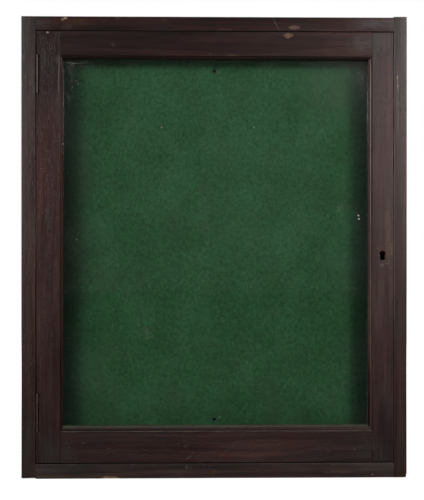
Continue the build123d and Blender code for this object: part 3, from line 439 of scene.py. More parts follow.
F, OUT = FRONT, X_OUT
OV = 0.28  # the groove's share of the moulding
INSIDE_Z = (2, ARRIS_B, ARRIS_T)
INSIDE_X = (0, ARRIS_L, ARRIS_R)
# In each board below, shade is painted light and shade along it; rims on the mouldings and rub are painted highlights;
# gaps and soil are painted shade with dirt; bare is painted light in the joint.
MEMBERS = {
    "case_side_left": dict(axis="Z", seed=1, tone=0.70, red=0.3, bloom=0.5, shine=0.31, shade=((-0.28, 0.85), (-0.08, 1.0), (0.12, 1.1), (0.28, 0.6)), edge_wear_and_glints=[(0, -OUT, 1, F, 1.4, 0.2), (0, -OUT, 1, 0.0, 2.5, 0.35), (2, Z_TOP, 1, F, 1.6, 0.3), (2, -0.3028, 1, F, 1.8, 0.3)], joint_dirt_and_shade=[(0, XL, 0.2)], joint_fill_light=[(0, XL, 3.0, 0.32, lin(104, 88, 82), 2, -0.03, 0.10), (0, XL + 0.0002, 6.0, 0.8, lin(120, 110, 98), 2, -0.238, -0.20)]),
    "case_side_right": dict(axis="Z", seed=2, tone=0.76, red=0.35, bloom=0.6, shine=0.212, shade=((-0.28, 0.78), (-0.10, 1.12), (0.10, 1.04), (0.28, 0.68)), edge_wear_and_glints=[(0, OUT, 1, F, 1.8, 0.25), (0, OUT, 1, 0.0, 2.5, 0.4), (2, 0.3047, 1, F, 2.0, 0.4), (2, Z_BOT, 1, F, 2.4, 0.35), (0, XR, 1, F, 0.9, 0.5, (2, -0.06, 0.28))], joint_dirt_and_shade=[(0, XR, 0.05)], joint_fill_light=[(0, XR, 3.0, 0.62, lin(128, 110, 104), 2, -0.11, 0.29), (0, XR, 5.0, 0.62, lin(78, 62, 57), 2, -0.29, -0.13)]),
    "case_top": dict(axis="X", seed=3, tone=0.52, cast=(0.88, 0.77, 0.69), dusty=0.12, red=0.6, bloom=0.3, shine=0.155, polish=0.32, shade=((-0.25, 1.1), (-0.15, 0.85), (0.05, 0.9), (0.20, 1.4)), edge_wear_and_glints=[(2, Z_TOP, 1, F, 1.6, 0.25), (2, Z_TOP, 1, 0.0, 2.5, 0.4)], joint_dirt_and_shade=[(2, ZT, 1.0, (0, 0.02, 0.12, 0.45))]),
    "case_bottom": dict(axis="X", seed=4, tone=0.86, red=0.20, bloom=0.4, shine=0.20, polish=0.34, cast=(0.86, 1.46, 1.56), edge_wear_and_glints=[(2, Z_BOT, 1, F, 2.2, 0.5), (2, Z_BOT, 1, 0.0, 2.5, 0.4)], joint_dirt_and_shade=[(2, ZB, 1.0, (0, 0.00, 0.09, 0.1))], joint_fill_light=[(2, ZB, 6.0, 0.55, lin(72, 57, 52), 0, 0.05, 0.237)]),
    "door_stile_left": dict(axis="Z", seed=5, tone=0.82, red=0.35, bloom=0.4, shine=0.21, cast=(0.97, 1.07, 1.13), shade=((-0.26, 0.72), (-0.18, 0.72), (-0.06, 1.12), (0.06, 1.30), (0.15, 0.95), (0.24, 0.42)), edge_wear_and_glints=[(0, ARRIS_L, 1, F, 1.8, 0.5, (2, 0.09, ARRIS_T)), (0, ARRIS_L + OV * (SIGHT_L - ARRIS_L), 1, F + 0.0011, 1.0, 0.34, (2, 0.06, ARRIS_T))], joint_dirt_and_shade=[(0, DOOR_L, 0.45)], joint_fill_light=[(0, -0.2301, 3.2, 0.55, lin(74, 63, 58), 2, -0.245, -0.19)], glass_edge_shade_and_dirt=[(0, SIGHT_L, 1.0, 0.5)]),
    "door_stile_right": dict(axis="Z", seed=6, tone=0.715, red=0.45, bloom=0.6, shine=0.272, cast=(1.02, 0.95, 0.93), shade=((-0.26, 0.66), (-0.10, 1.00), (0.05, 1.06), (0.15, 1.22), (0.235, 1.02), (0.262, 0.66)), edge_wear_and_glints=[(0, ARRIS_R + OV * (SIGHT_R - ARRIS_R), 1, F + 0.0011, 1.2, 0.85, (2, -0.16, 0.245)), (0, DOOR_R, 1, F, 1.2, 0.55, (2, -0.10, 0.27))], joint_dirt_and_shade=[(0, DOOR_R, 0.8, (2, 0.20, 0.02, 0.08))], joint_fill_light=[(0, DOOR_R, 5.0, 0.6, lin(70, 57, 52), 2, -0.29, -0.03), (0, DOOR_R, 4.0, 0.55, lin(104, 86, 76), 2, -0.014, 0.022)], glass_edge_shade_and_dirt=[(0, SIGHT_R, 1.3, 0.7)], moulding_highlight_bands=[(0, 0.20345, 0.2042, 0.5, 2, -0.13, 0.245), (0, 0.2062, 0.2079, 0.45, 2, -0.29, 0.29)]),
    "door_rail_top": dict(axis="X", seed=7, tone=0.50, red=0.38, cast=(0.95, 0.99, 1.02), bloom=0.3, shine=0.15, polish=0.32, shade=((-0.20, 0.90), (-0.10, 0.75), (0.00, 1.0), (0.12, 1.25), (0.20, 1.75)), edge_wear_and_glints=[], joint_dirt_and_shade=[(2, DOOR_T, 1.0, (0, 0.02, 0.12, 0.45))], glass_edge_shade_and_dirt=[(2, SIGHT_T, 1.0, 0.5), (2, 0.2490, 4.6, 0.80, 0.4, (0, 0.02, 0.12, 0.35))]),
    "door_rail_bottom": dict(axis="X", seed=8, tone=0.68, dusty=0.40, dust_tint=lin(94, 112, 84), red=0.20, cast=(0.94, 1.02, 1.12), bloom=0.3, shine=0.20, polish=0.34, edge_wear_and_glints=[(2, ARRIS_B, 1, F, 1.6, 0.62, INSIDE_X), (2, DOOR_B, 1, F, 0.9, 0.3, (0, -0.20, -0.02))], joint_dirt_and_shade=[(2, DOOR_B, 1.0, (0, 0.00, 0.09, 0.1))]),
    "door_stop_top": dict(axis="X", seed=9, tone=0.9, red=0.5, bloom=0.3, polish=0.6),
    "door_stop_bottom": dict(axis="X", seed=10, tone=0.9, red=0.5, bloom=0.3, polish=0.6),
    "door_stop_right": dict(axis="Z", seed=11, tone=0.9, red=0.5, bloom=0.3, polish=0.6),
    "glazing_bead_top": dict(axis="X", seed=12, tone=0.85, red=0.6, bloom=0.2, polish=0.55),
    "glazing_bead_bottom": dict(axis="X", seed=13, tone=0.85, red=0.6, bloom=0.2, polish=0.55),
    "glazing_bead_left": dict(axis="Z", seed=14, tone=0.85, red=0.6, bloom=0.2, polish=0.55),
    "glazing_bead_right": dict(axis="Z", seed=15, tone=0.85, red=0.6, bloom=0.2, polish=0.55),
}
MARKS = {
    "case_top": [
        patch(62.6, 19.3, 2.6, 1.9, lin(104, 88, 86), 0.85, 0.5, 1.0), patch(65.6, 18.0, 2.4, 1.3, lin(150, 124, 100), 1.0, 0.4, 0.8), patch(77, 22.5, 17, 5.5, lin(50, 33, 20), 0.75), patch(67, 27, 8, 3, GREY, 0.18),
        patch(196, 27.5, 24, 2.6, RED, 0.5), stroke(272, 17, 279, 30, 0.2, 0.5, PALE, 0.45), patch(294, 27.6, 6.6, 2.6, lin(112, 86, 78), 0.68, 0.4, 1.5), patch(225, 29.3, 11, 1.5, lin(80, 56, 44), 0.6, 0.7, 1.0), patch(164.5, 19.5, 1.3, 0.8, PALE, 0.35),
        # the two grey patches at the right end are painted sheen of the polish, as bloom
        patch(38, 23, 22, 10, lin(50, 48, 46), 0.80, 0.9), patch(378, 24, 44, 9, lin(92, 88, 91), 0.42, 0.9, 0.8), patch(393, 24, 14, 12, lin(80, 75, 74), 0.60, 1.0, 0.6), patch(117, 17.6, 3, 0.9, PALE, 0.3), patch(129, 17.4, 4, 0.8, PALE, 0.25), patch(104, 21.5, 1.2, 0.8, PALE, 0.25), patch(255, 28, 60, 2.2, RED, 0.35),
    ],
    # the two grey patches at the right end are painted sheen of the polish, as bloom
    "door_rail_top": [patch(288.5, 35.2, 5.8, 2.4, TAN, 0.55, 0.4, 1.5), patch(287.5, 37.4, 2.6, 1.4, TAN, 0.5, 0.4, 1.4), patch(362, 42, 20, 15, lin(78, 72, 68), 0.60, 1.0, 0.6), patch(371, 41, 8, 14, lin(58, 60, 54), 0.6, 1.0, 0.5), patch(232.5, 55, 8.5, 2.0, lin(76, 60, 42), 0.5, 0.7, 1.0), patch(210, 54, 1.4, 0.8, PALE, 0.4), patch(113, 45, 2.6, 2.6, GREY, 0.25), patch(170, 52, 60, 3, RED, 0.3), patch(79.5, 41, 0.8, 0.8, GREY, 0.3)],
    # on the left stile, the pale spot near the top and the two pale strokes along the moulding's arris are painted
    # highlights
    "door_stile_left": [patch(47.4, 32.4, 1.5, 1.0, lin(140, 132, 128), 1.0, 0.4, 0.5), patch(50, 44, 6, 9, RED, 0.35), patch(52, 116, 6, 20, RED, 0.35), patch(48, 62, 10, 16, lin(46, 42, 40), 0.35), stroke(58.6, 58, 58.6, 92, 0.45, 0.6, lin(96, 88, 86), 0.55), stroke(58.3, 92, 58.0, 112, 0.3, 0.6, lin(84, 74, 72), 0.35), patch(50, 455, 20, 30, lin(40, 38, 37), 0.84, 1.0, 0.8)],
    "case_side_left": [patch(30.0, 84.5, 2.4, 4.5, lin(88, 68, 62), 0.45), patch(25.5, 77, 1.0, 2.5, PALE, 0.25), patch(25.8, 84, 1.0, 3.0, PALE, 0.22), patch(32, 72, 3.4, 18, lin(52, 46, 36), 0.5), patch(27, 25, 4, 8, lin(44, 42, 40), 0.5), patch(28, 448, 8, 48, lin(39, 38, 37), 0.80, 1.0, 0.8)],
    "case_side_right": [patch(400, 23, 12, 14, lin(26, 24, 25), 0.55, 1.0, 0.6), patch(405.5, 80, 4.2, 95, lin(24, 24, 25), 0.50, 0.9, 0.4), patch(397.6, 95, 2.6, 62, lin(112, 96, 92), 0.30, 0.9, 0.5), patch(400, 458, 8, 26, lin(42, 38, 36), 0.50, 1.0, 0.8), patch(401, 430, 8, 44, lin(42, 38, 35), 0.55, 1.0, 0.8), patch(397.6, 77.6, 1.0, 2.2, lin(150, 128, 112), 0.85, 0.5, 0.6), patch(397.7, 86.2, 1.1, 2.0, lin(146, 120, 102), 0.8, 0.5, 0.6), stroke(397.7, 76, 397.9, 92, 0.3, 0.8, TAN, 0.35), patch(404, 230, 1.6, 60, lin(70, 70, 66), 0.4), patch(397, 285, 3, 16, RED, 0.4)],
    "door_stile_right": [
        patch(380, 41, 15, 16, lin(60, 55, 51), 0.55, 1.0, 0.6), patch(373, 41, 8.5, 17, lin(18, 19, 15), 0.62, 1.0, 0.5), patch(381, 455, 14, 28, lin(42, 40, 37), 0.60, 1.0, 0.8),
        patch(387.8, 224, 4.4, 32, lin(78, 56, 42), 0.8, 0.8), patch(388, 247, 4.4, 16, lin(78, 56, 42), 0.85, 0.8), patch(388.6, 263, 2.6, 6, lin(78, 60, 44), 0.6, 0.8), patch(391.6, 250, 1.4, 8, lin(104, 88, 76), 0.4), patch(378, 248.2, 0.9, 0.9, PALE, 0.55, 0.5, 0.6),
        patch(378.5, 255, 0.9, 0.9, PALE, 0.45, 0.5, 0.6), patch(382, 265, 3.0, 2.4, PALE, 0.28), patch(386, 263.5, 1.6, 1.2, TAN, 0.35), patch(391.3, 268, 0.8, 1.0, PALE, 0.5, 0.5, 0.6),
        patch(390, 275, 1.0, 12, RED, 0.4), patch(381, 288, 5, 14, lin(66, 50, 40), 0.4),
        stroke(372.5, 437, 373.4, 449, 0.25, 0.6, GREY, 0.35), patch(376, 438, 0.9, 0.8, PALE, 0.3), patch(372.5, 434, 1.6, 1.0, GREY, 0.35), stroke(394, 447, 396, 459, 0.2, 0.5, GREY, 0.3),
    ],
    "case_bottom": [
        patch(111, 477.8, 10.5, 1.6, lin(136, 116, 86), 0.90, 0.4, 1.2), patch(214, 471.8, 7, 3.2, lin(68, 45, 31), 0.6), patch(265, 471.5, 26, 3.0, RED, 0.45),
        patch(338, 471.8, 18, 2.6, RUST, 0.6), patch(385, 470, 15, 8, lin(46, 43, 39), 0.5, 1.0, 0.8), stroke(186.5, 465.2, 186.2, 468.8, 0.2, 0.5, PALE, 0.35), stroke(191.2, 465.4, 190.9, 468.6, 0.2, 0.5, PALE, 0.30), patch(372.5, 474.4, 1.0, 0.9, PALE, 0.85, 0.5, 0.4), patch(187, 467.5, 2.6, 2.2, GREY, 0.35), patch(333, 464.5, 1.4, 2.2, GREY, 0.3), patch(366, 469, 1.6, 1.2, GREY, 0.3),
    ],
    "door_rail_bottom": [
        stroke(246, 432, 216, 462, 0.10, 0.5, GREY, 0.30), stroke(186, 459.5, 193, 454.5, 0.2, 0.5, PALE, 0.34), patch(366, 452, 14, 24, lin(43, 40, 37), 0.50, 1.0, 0.8), patch(67, 453, 14, 24, lin(41, 38, 37), 0.66, 1.0, 0.8), stroke(195, 456, 215, 452, 0.15, 0.4, GREY, 0.25),
        patch(83, 443, 2.4, 1.4, GREY, 0.35), stroke(47.5, 451.5, 55, 450.8, 0.2, 0.6, GREY, 0.35), patch(354.5, 449.5, 0.9, 1.2, GREY, 0.35), patch(140, 447, 60, 6, RED, 0.25),
    ],
}
for node, spec in MEMBERS.items():
    NODES[node].data.materials[0] = wood("mahogany_" + node, marks=MARKS.get(node, ()), **spec)


# ---------------------------------------------------------------- softwood back
def softwood(name, seed, knots, pith):
    """A planed deal board, grain upright, browned with age. knots are (x, z, radius) in metres.
    pith is where the middle of the tree ran: (x, depth behind the board, how fast that changes going up)."""
    mat, t, out = new_material(name)
    coord = t.add("ShaderNodeTexCoord")
    p = coord.outputs["Object"]
    x, y, z = t.xyz(p)
    nx, ny, nz = t.xyz(coord.outputs["Normal"])
    shift = (seed * 2.37, seed * 1.31, seed * 0.77)
    across = t.plus(x, t.mul(t.less(t.noise(t.vec("ADD", t.join(t.mul(x, 1.5), y, t.mul(z, 0.8)), shift), 3.0, 1.0), 0.5), 0.05))
    knot_mask, knot_ring, halo, bark = 0.0, 0.0, 0.0, 0.0
    for kx, kz, kr in knots:
        dx, dz = t.less(x, kx), t.less(z, kz)
        d = t.math("SQRT", t.plus(t.mul(dx, dx), t.mul(dz, dz, 0.72)))
        far = t.math("SQRT", t.plus(t.mul(dx, dx), t.mul(dz, dz, 0.10)))
        push = t.mul(t.math("SIGN", dx), t.math("EXPONENT", t.mul(far, -0.55 / kr)), kr * 1.5)
        across = t.less(across, push)
        wobble = t.mul(t.less(t.noise(p, 90.0, 2.0), 0.5), kr * 0.35)
        d = t.plus(d, wobble)
        m = t.remap(d, kr * 0.86, kr * 1.02, 1.0, 0.0)
        knot_mask = m if knot_mask == 0.0 else t.most(knot_mask, m)
        skin = t.mul(t.remap(d, kr * 0.78, kr * 0.92), t.remap(d, kr * 1.08, kr * 0.96))
        bark = skin if bark == 0.0 else t.most(bark, skin)
        h = t.remap(d, kr * 1.0, kr * 2.4, 1.0, 0.0)
        halo = h if halo == 0.0 else t.most(halo, h)
        r = t.mul(m, t.math("SINE", t.mul(d, 5200.0)))
        knot_ring = r if knot_ring == 0.0 else t.plus(knot_ring, r)
    g = lambda stretch: t.vec("ADD", t.join(across, y, t.mul(z, stretch)), shift)
    # growth rings cut lengthwise: soft wide bands with a sharp dark late-wood side
    px, deep, climb = pith
    out_x = t.less(across, px)
    out_y = t.plus(deep, t.mul(z, climb), t.mul(t.less(t.noise(t.vec("ADD", t.join(t.mul(x, 0.6), 0.0, z), shift), 5.5, 2.0), 0.5), 0.030), t.mul(y, -1.0))
    ring = t.math("SQRT", t.plus(t.mul(out_x, out_x), t.mul(out_y, out_y)))
    ring = t.plus(ring, t.mul(t.less(t.noise(g(0.22), 30.0, 2.0), 0.5), 0.0035))
    years = t.noise(t.join(t.mul(ring, 1.0), seed * 3.1, 0.0), 60.0, 2.0)
    phase = t.plus(t.mul(ring, 250.0), t.mul(years, 5.0))
    saw = t.math("FRACT", phase)
    late = t.remap(saw, 0.30, 0.95)
    strong = t.remap(t.noise(t.join(t.mul(t.math("FLOOR", phase), 7.3), seed * 1.7, 0.0), 1.0, 0.0), 0.25, 0.75, 0.25, 1.0)
    late = t.mul(late, t.remap(saw, 1.0, 0.93), strong)
    fibre = t.noise(g(0.02), 640.0, 3.0, 0.6)
    tone = t.noise(g(0.3), 7.0, 3.0, 0.6)
    colour = t.ramp(t.plus(t.mul(late, 0.55), t.mul(fibre, 0.45)), (0.12, lin(180, 146, 104)), (0.50, lin(164, 127, 85)), (0.95, lin(124, 86, 54)))
    colour = t.vec("SCALE", colour, scale=t.mul(t.remap(tone, 0.25, 0.75, 0.66, 1.0, False), t.remap(fibre, 0.2, 0.8, 0.86, 1.08, False)))
    if knots:
        colour = t.mix(t.mul(halo, 0.45), colour, lin(112, 70, 40))
        knot_colour = t.mix(t.remap(knot_ring, -0.6, 0.6), lin(84, 50, 30), lin(122, 80, 48))
        knot_colour = t.mix(t.remap(t.noise(p, 420.0, 2.0), 0.52, 0.66), knot_colour, lin(58, 36, 24))
        colour = t.mix(knot_mask, colour, knot_colour)
        colour = t.mix(t.mul(bark, 0.75), colour, lin(50, 32, 22))
    # grime: darker towards the rim, water marks and smoke
    margin = t.least(t.less(0.2456, t.math("ABSOLUTE", x)), t.less(0.2935, t.math("ABSOLUTE", z)))
    dirt = t.noise(p, 16.0, 4.0, 0.62)
    rim_dirt = t.remap(t.plus(margin, t.mul(t.less(dirt, 0.5), 0.05)), 0.0, 0.055, 1.0, 0.0)
    colour = t.mix(t.mul(rim_dirt, 0.55), colour, lin(66, 48, 34))
    colour = t.mix(t.mul(t.remap(dirt, 0.52, 0.74), 0.42), colour, lin(78, 60, 44))
    tide = t.math("ABSOLUTE", t.less(t.noise(t.vec("ADD", p, (0.3, 0, 0.1)), 7.0, 2.0), 0.55))
    colour = t.mix(t.mul(t.remap(tide, 0.0, 0.03, 1.0, 0.0), 0.09), colour, lin(72, 52, 36))
    speck = t.remap(t.noise(p, 900.0, 2.0), 0.66, 0.76)
    colour = t.mix(t.mul(speck, 0.35), colour, lin(60, 44, 32))
    ends = t.remap(t.math("ABSOLUTE", nz), 0.7, 0.9)
    colour = t.mix(t.mul(ends, 0.6), colour, lin(74, 50, 32))
    inside = t.remap(y, -0.0086, -0.0089)
    colour = t.mix(t.mul(inside, 0.4), colour, lin(80, 66, 50))
    chatter = t.math("SINE", t.plus(t.mul(z, 1900.0), t.mul(t.noise(g(1.0), 30.0, 1.0), 4.0)))
    height = t.plus(t.mul(late, 0.35), t.mul(fibre, 0.5), t.mul(chatter, 0.10), t.mul(knot_mask, 0.5))
    surface(t, out, colour, t.remap(fibre, 0.2, 0.8, 0.66, 0.84, False), (height, 0.00025, 0.8), shine=0.3)
    return mat


for node, seed, knots, pith in (
    ("back_board_left", 1, [(-0.158, 0.121, 0.0075), (-0.121, -0.196, 0.0045)], (-0.262, 0.016, 0.05)),
    ("back_board_centre", 2, [(0.034, -0.092, 0.0085)], (-0.012, 0.034, 0.085)),
    ("back_board_right", 3, [(0.176, 0.034, 0.0058), (0.214, 0.202, 0.0066)], (0.190, 0.030, -0.07)),
):
    NODES[node].data.materials[0] = softwood("softwood_" + node, seed, knots, pith)


# ---------------------------------------------------------------- brass and steel
def tarnished(name, seed, body, bright, spots, rough=0.38, inside=None):
    """Old brass or iron: a brown skin, rubbed brighter here and there, with darker and greener specks.
    inside is an (x, y) that the part of the lock plate seen through the keyhole lies left of and in front of; that part
    is darkened nearly black as painted shade."""
    mat, t, out = new_material(name)
    place = t.add("ShaderNodeTexCoord").outputs["Object"]
    p = t.vec("ADD", place, (seed * 0.37, seed * 0.53, seed * 0.71))
    cloud = t.noise(p, 160.0, 4.0, 0.62)
    small = t.noise(p, 900.0, 3.0, 0.6)
    brushed = t.noise(t.vec("MULTIPLY", p, (1.0, 1.0, 0.06)), 3200.0, 2.0, 0.5)
    colour = t.mix(t.mul(t.remap(cloud, 0.34, 0.76), t.remap(small, 0.30, 0.60, 0.55, 1.0)), body, bright)
    colour = t.mix(t.mul(t.remap(small, 0.56, 0.72), 0.7), colour, spots)
    colour = t.vec("SCALE", colour, scale=t.remap(brushed, 0.2, 0.8, 0.84, 1.12, False))
    dull = t.remap(small, 0.52, 0.72)
    # painted shade: the part of the lock plate seen through the keyhole is darkened nearly black
    if inside:
        x, y, z = t.xyz(place)
        keyhole_shade = t.mul(t.remap(x, inside[0], inside[0] - 0.0003), t.remap(y, inside[1], inside[1] - 0.0003))
        colour = t.mix(t.mul(keyhole_shade, 0.92), colour, lin(12, 8, 5))
        dull = t.most(dull, keyhole_shade)
    rough = t.plus(rough, t.mul(dull, 0.28), t.mul(t.less(brushed, 0.5), 0.16))
    height = t.plus(t.mul(brushed, 0.25), t.mul(dull, 0.8), t.mul(cloud, 0.5))
    surface(t, out, colour, rough, (height, 0.00005, 0.7), metallic=t.remap(dull, 0.0, 1.0, 1.0, 0.55), shine=0.5)
    return mat


# a near-black copy for the lock's inner parts and key pin, seen only through the keyhole: painted shade
KEYHOLE_SHADE_BLACK = tarnished("keyhole_shade_black_brass", 4, lin(22, 15, 11), lin(36, 25, 17), lin(12, 9, 7), 0.6)
BRASS = tarnished("brass", 1, lin(92, 72, 46), lin(156, 126, 82), lin(48, 40, 28))
BRASS_LOCK = tarnished("brass_lock", 1, lin(92, 72, 46), lin(156, 126, 82), lin(48, 40, 28), inside=(DOOR_R - 0.0013, -0.0461))
# the upper hinge's brass is a lighter copy and the lower hinge's a darker copy of the same knuckle brass: painted light
# and shade
BRASS_UPPER_HINGE_LIT = tarnished("brass_upper_hinge_lit", 2, lin(60, 53, 50), lin(83, 74, 70), lin(35, 31, 28), 0.43)
BRASS_LOWER_HINGE_SHADED = tarnished("brass_lower_hinge_shaded", 5, lin(58, 51, 42), lin(86, 76, 62), lin(38, 33, 28), 0.46)
STEEL = tarnished("steel", 3, lin(70, 64, 60), lin(112, 108, 104), lin(66, 40, 26), 0.46)
for node, mat in {
    "hinge_upper_case_leaf": BRASS_UPPER_HINGE_LIT, "hinge_lower_case_leaf": BRASS_LOWER_HINGE_SHADED, "hinge_upper_door_leaf": BRASS_UPPER_HINGE_LIT, "hinge_lower_door_leaf": BRASS_LOWER_HINGE_SHADED,
    "hinge_upper_pin": BRASS_UPPER_HINGE_LIT, "hinge_lower_pin": BRASS_LOWER_HINGE_SHADED, "hinge_case_screws": BRASS, "hinge_door_screws": BRASS,
    "strike_plate": BRASS, "strike_screws": BRASS, "lock_plate": BRASS_LOCK, "lock_cap": KEYHOLE_SHADE_BLACK, "lock_ward": KEYHOLE_SHADE_BLACK, "key_pin": KEYHOLE_SHADE_BLACK, "lock_screws": BRASS,
    "lock_bolt": BRASS, "back_screws": STEEL, "stop_pins": STEEL, "bead_pins": STEEL, "bolt_spring": STEEL,
}.items():
    NODES[node].data.materials[0] = mat


# ---------------------------------------------------------------- glass
def old_glass():
    """Clear sheet glass, a little wavy, with dust in its corners, a few specks, fine scratches and a painted highlight
    along its top edge.
    """
    mat, t, out = new_material("old_glass")
    coord = t.add("ShaderNodeTexCoord")
    p = coord.outputs["Object"]
    nx, ny, nz = t.xyz(coord.outputs["Normal"])
    wave = t.noise(t.vec("MULTIPLY", p, (1.0, 1.0, 0.35)), 14.0, 2.0, 0.4)
    b = t.add("ShaderNodeBump")
    t.put(wave, b.inputs["Height"])
    b.inputs["Distance"].default_value = 0.0006
    b.inputs["Strength"].default_value = 0.5
    gloss = t.add("ShaderNodeBsdfGlossy")
    gloss.inputs["Roughness"].default_value = 0.02
    gloss.inputs["Color"].default_value = (1, 1, 1, 1)
    t.put(b.outputs[0], gloss.inputs["Normal"])
    clear = t.add("ShaderNodeBsdfTransparent")
    clear.inputs["Color"].default_value = (0.955, 0.975, 0.96, 1)
    facing = t.add("ShaderNodeLayerWeight")
    facing.inputs["Blend"].default_value = 0.5
    t.put(b.outputs[0], facing.inputs["Normal"])
    # reflectance of glass at this slant, alike from both faces of the pane
    fres = t.plus(0.04, t.mul(t.math("POWER", facing.outputs["Facing"], 5.0), 0.96))
    pane = t.add("ShaderNodeMixShader")
    t.put(fres, pane.inputs[0])
    t.put(clear.outputs[0], pane.inputs[1])
    t.put(gloss.outputs[0], pane.inputs[2])
    # dust and marks, on the outer face only, with one painted highlight along the top edge
    outer = t.remap(ny, -0.5, -0.9)
    flat = t.vec("MULTIPLY", t.vec("ADD", p, t.vec("SCALE", t.noise3(p, 300.0, 2.0), scale=0.0016)), (1, 0, 1))
    rag = t.mul(t.less(t.noise(p, 120.0, 4.0, 0.65), 0.5), 1.2)
    at = lambda px, py: spot(px, py, -0.0545)
    film = t.mul(t.remap(t.noise(p, 26.0, 4.0, 0.6), 0.38, 0.80), 0.012)
    lint = t.mul(t.remap(t.noise(p, 700.0, 2.0, 0.5), 0.70, 0.78), 0.10)
    c = at(345, 78)
    corner = t.mul(t.group(PATCH, t.vec("MULTIPLY", p, (1, 0, 1)), (c.x, 0, c.z), (0.100, 1, 0.095), 1.0, 0.0), 0.024)
    marks = t.plus(film, lint, corner)
    for px, py, rx, ry, k in ((71, 70, 8, 15, 0.055), (70, 92, 7, 14, 0.045), (360, 74, 6, 18, 0.06), (341, 208, 6, 6, 0.07), (298, 213, 8, 5, 0.05), (148, 331, 9, 9, 0.05), (205, 214, 12, 40, 0.03)):
        c = at(px, py)
        marks = t.plus(marks, t.mul(t.group(PATCH, flat, (c.x, 0, c.z), (rx * 0.00134, 1, ry * 0.00134), 0.8, rag), t.mul(t.remap(t.noise(p, 430.0, 3.0, 0.7), 0.44, 0.66), t.remap(t.noise(t.vec("MULTIPLY", p, (1, 1, 0.4)), 150.0, 3.0), 0.36, 0.62)), k * 2.0))
    for px, py, r, k in ((161.6, 127.5, 0.8, 0.75), (254.1, 127.5, 0.8, 0.70), (76.6, 239.5, 0.6, 0.6), (358.5, 215.6, 1.0, 0.9), (359, 219, 1.0, 0.9), (378, 248, 0.5, 0.2)):
        c = at(px, py)
        marks = t.plus(marks, t.mul(t.group(PATCH, flat, (c.x, 0, c.z), (r * 0.0014, 1, r * 0.0014), 0.5, 0.0), k))
    # the pale stroke along the top edge, from x 340 to 366, is a painted highlight of the moulding's lower edge
    for x0, y0, x1, y1, k in ((141.5, 319.5, 145.5, 322, 0.08), (145.8, 327, 147.0, 336, 0.07), (146, 338.5, 153.5, 336, 0.08), (156.0, 322, 158.5, 326.5, 0.10), (236, 366.5, 238, 369, 0.10), (246.8, 361, 247.4, 365, 0.12), (75.2, 80.2, 76.2, 81.8, 0.16), (77.4, 83.0, 78.6, 84.8, 0.20), (72.4, 86.4, 73.0, 88.0, 0.13), (346, 75.2, 357, 78.4, 0.035), (357, 78.4, 363, 86, 0.045), (363, 86, 365.6, 98, 0.045), (340, 60.3, 366, 59.9, 0.10), (66, 62.6, 78, 63.4, 0.10), (80, 63.2, 86, 62.6, 0.07)):
        a, c = at(x0, y0), at(x1, y1)
        marks = t.plus(marks, t.mul(t.group(STROKE, flat, (a.x, 0, a.z), (c.x, 0, c.z), 0.0001, 0.0006), k))
    dusty = t.add("ShaderNodeBsdfDiffuse")
    dusty.inputs["Color"].default_value = lin(168, 170, 162)
    both = t.add("ShaderNodeMixShader")
    t.put(t.math("MINIMUM", t.mul(marks, outer), 0.85), both.inputs[0])
    t.put(pane.outputs[0], both.inputs[1])
    t.put(dusty.outputs[0], both.inputs[2])
    t.put(both.outputs[0], out.inputs["Surface"])
    return mat


NODES["glass_pane"].data.materials[0] = old_glass()


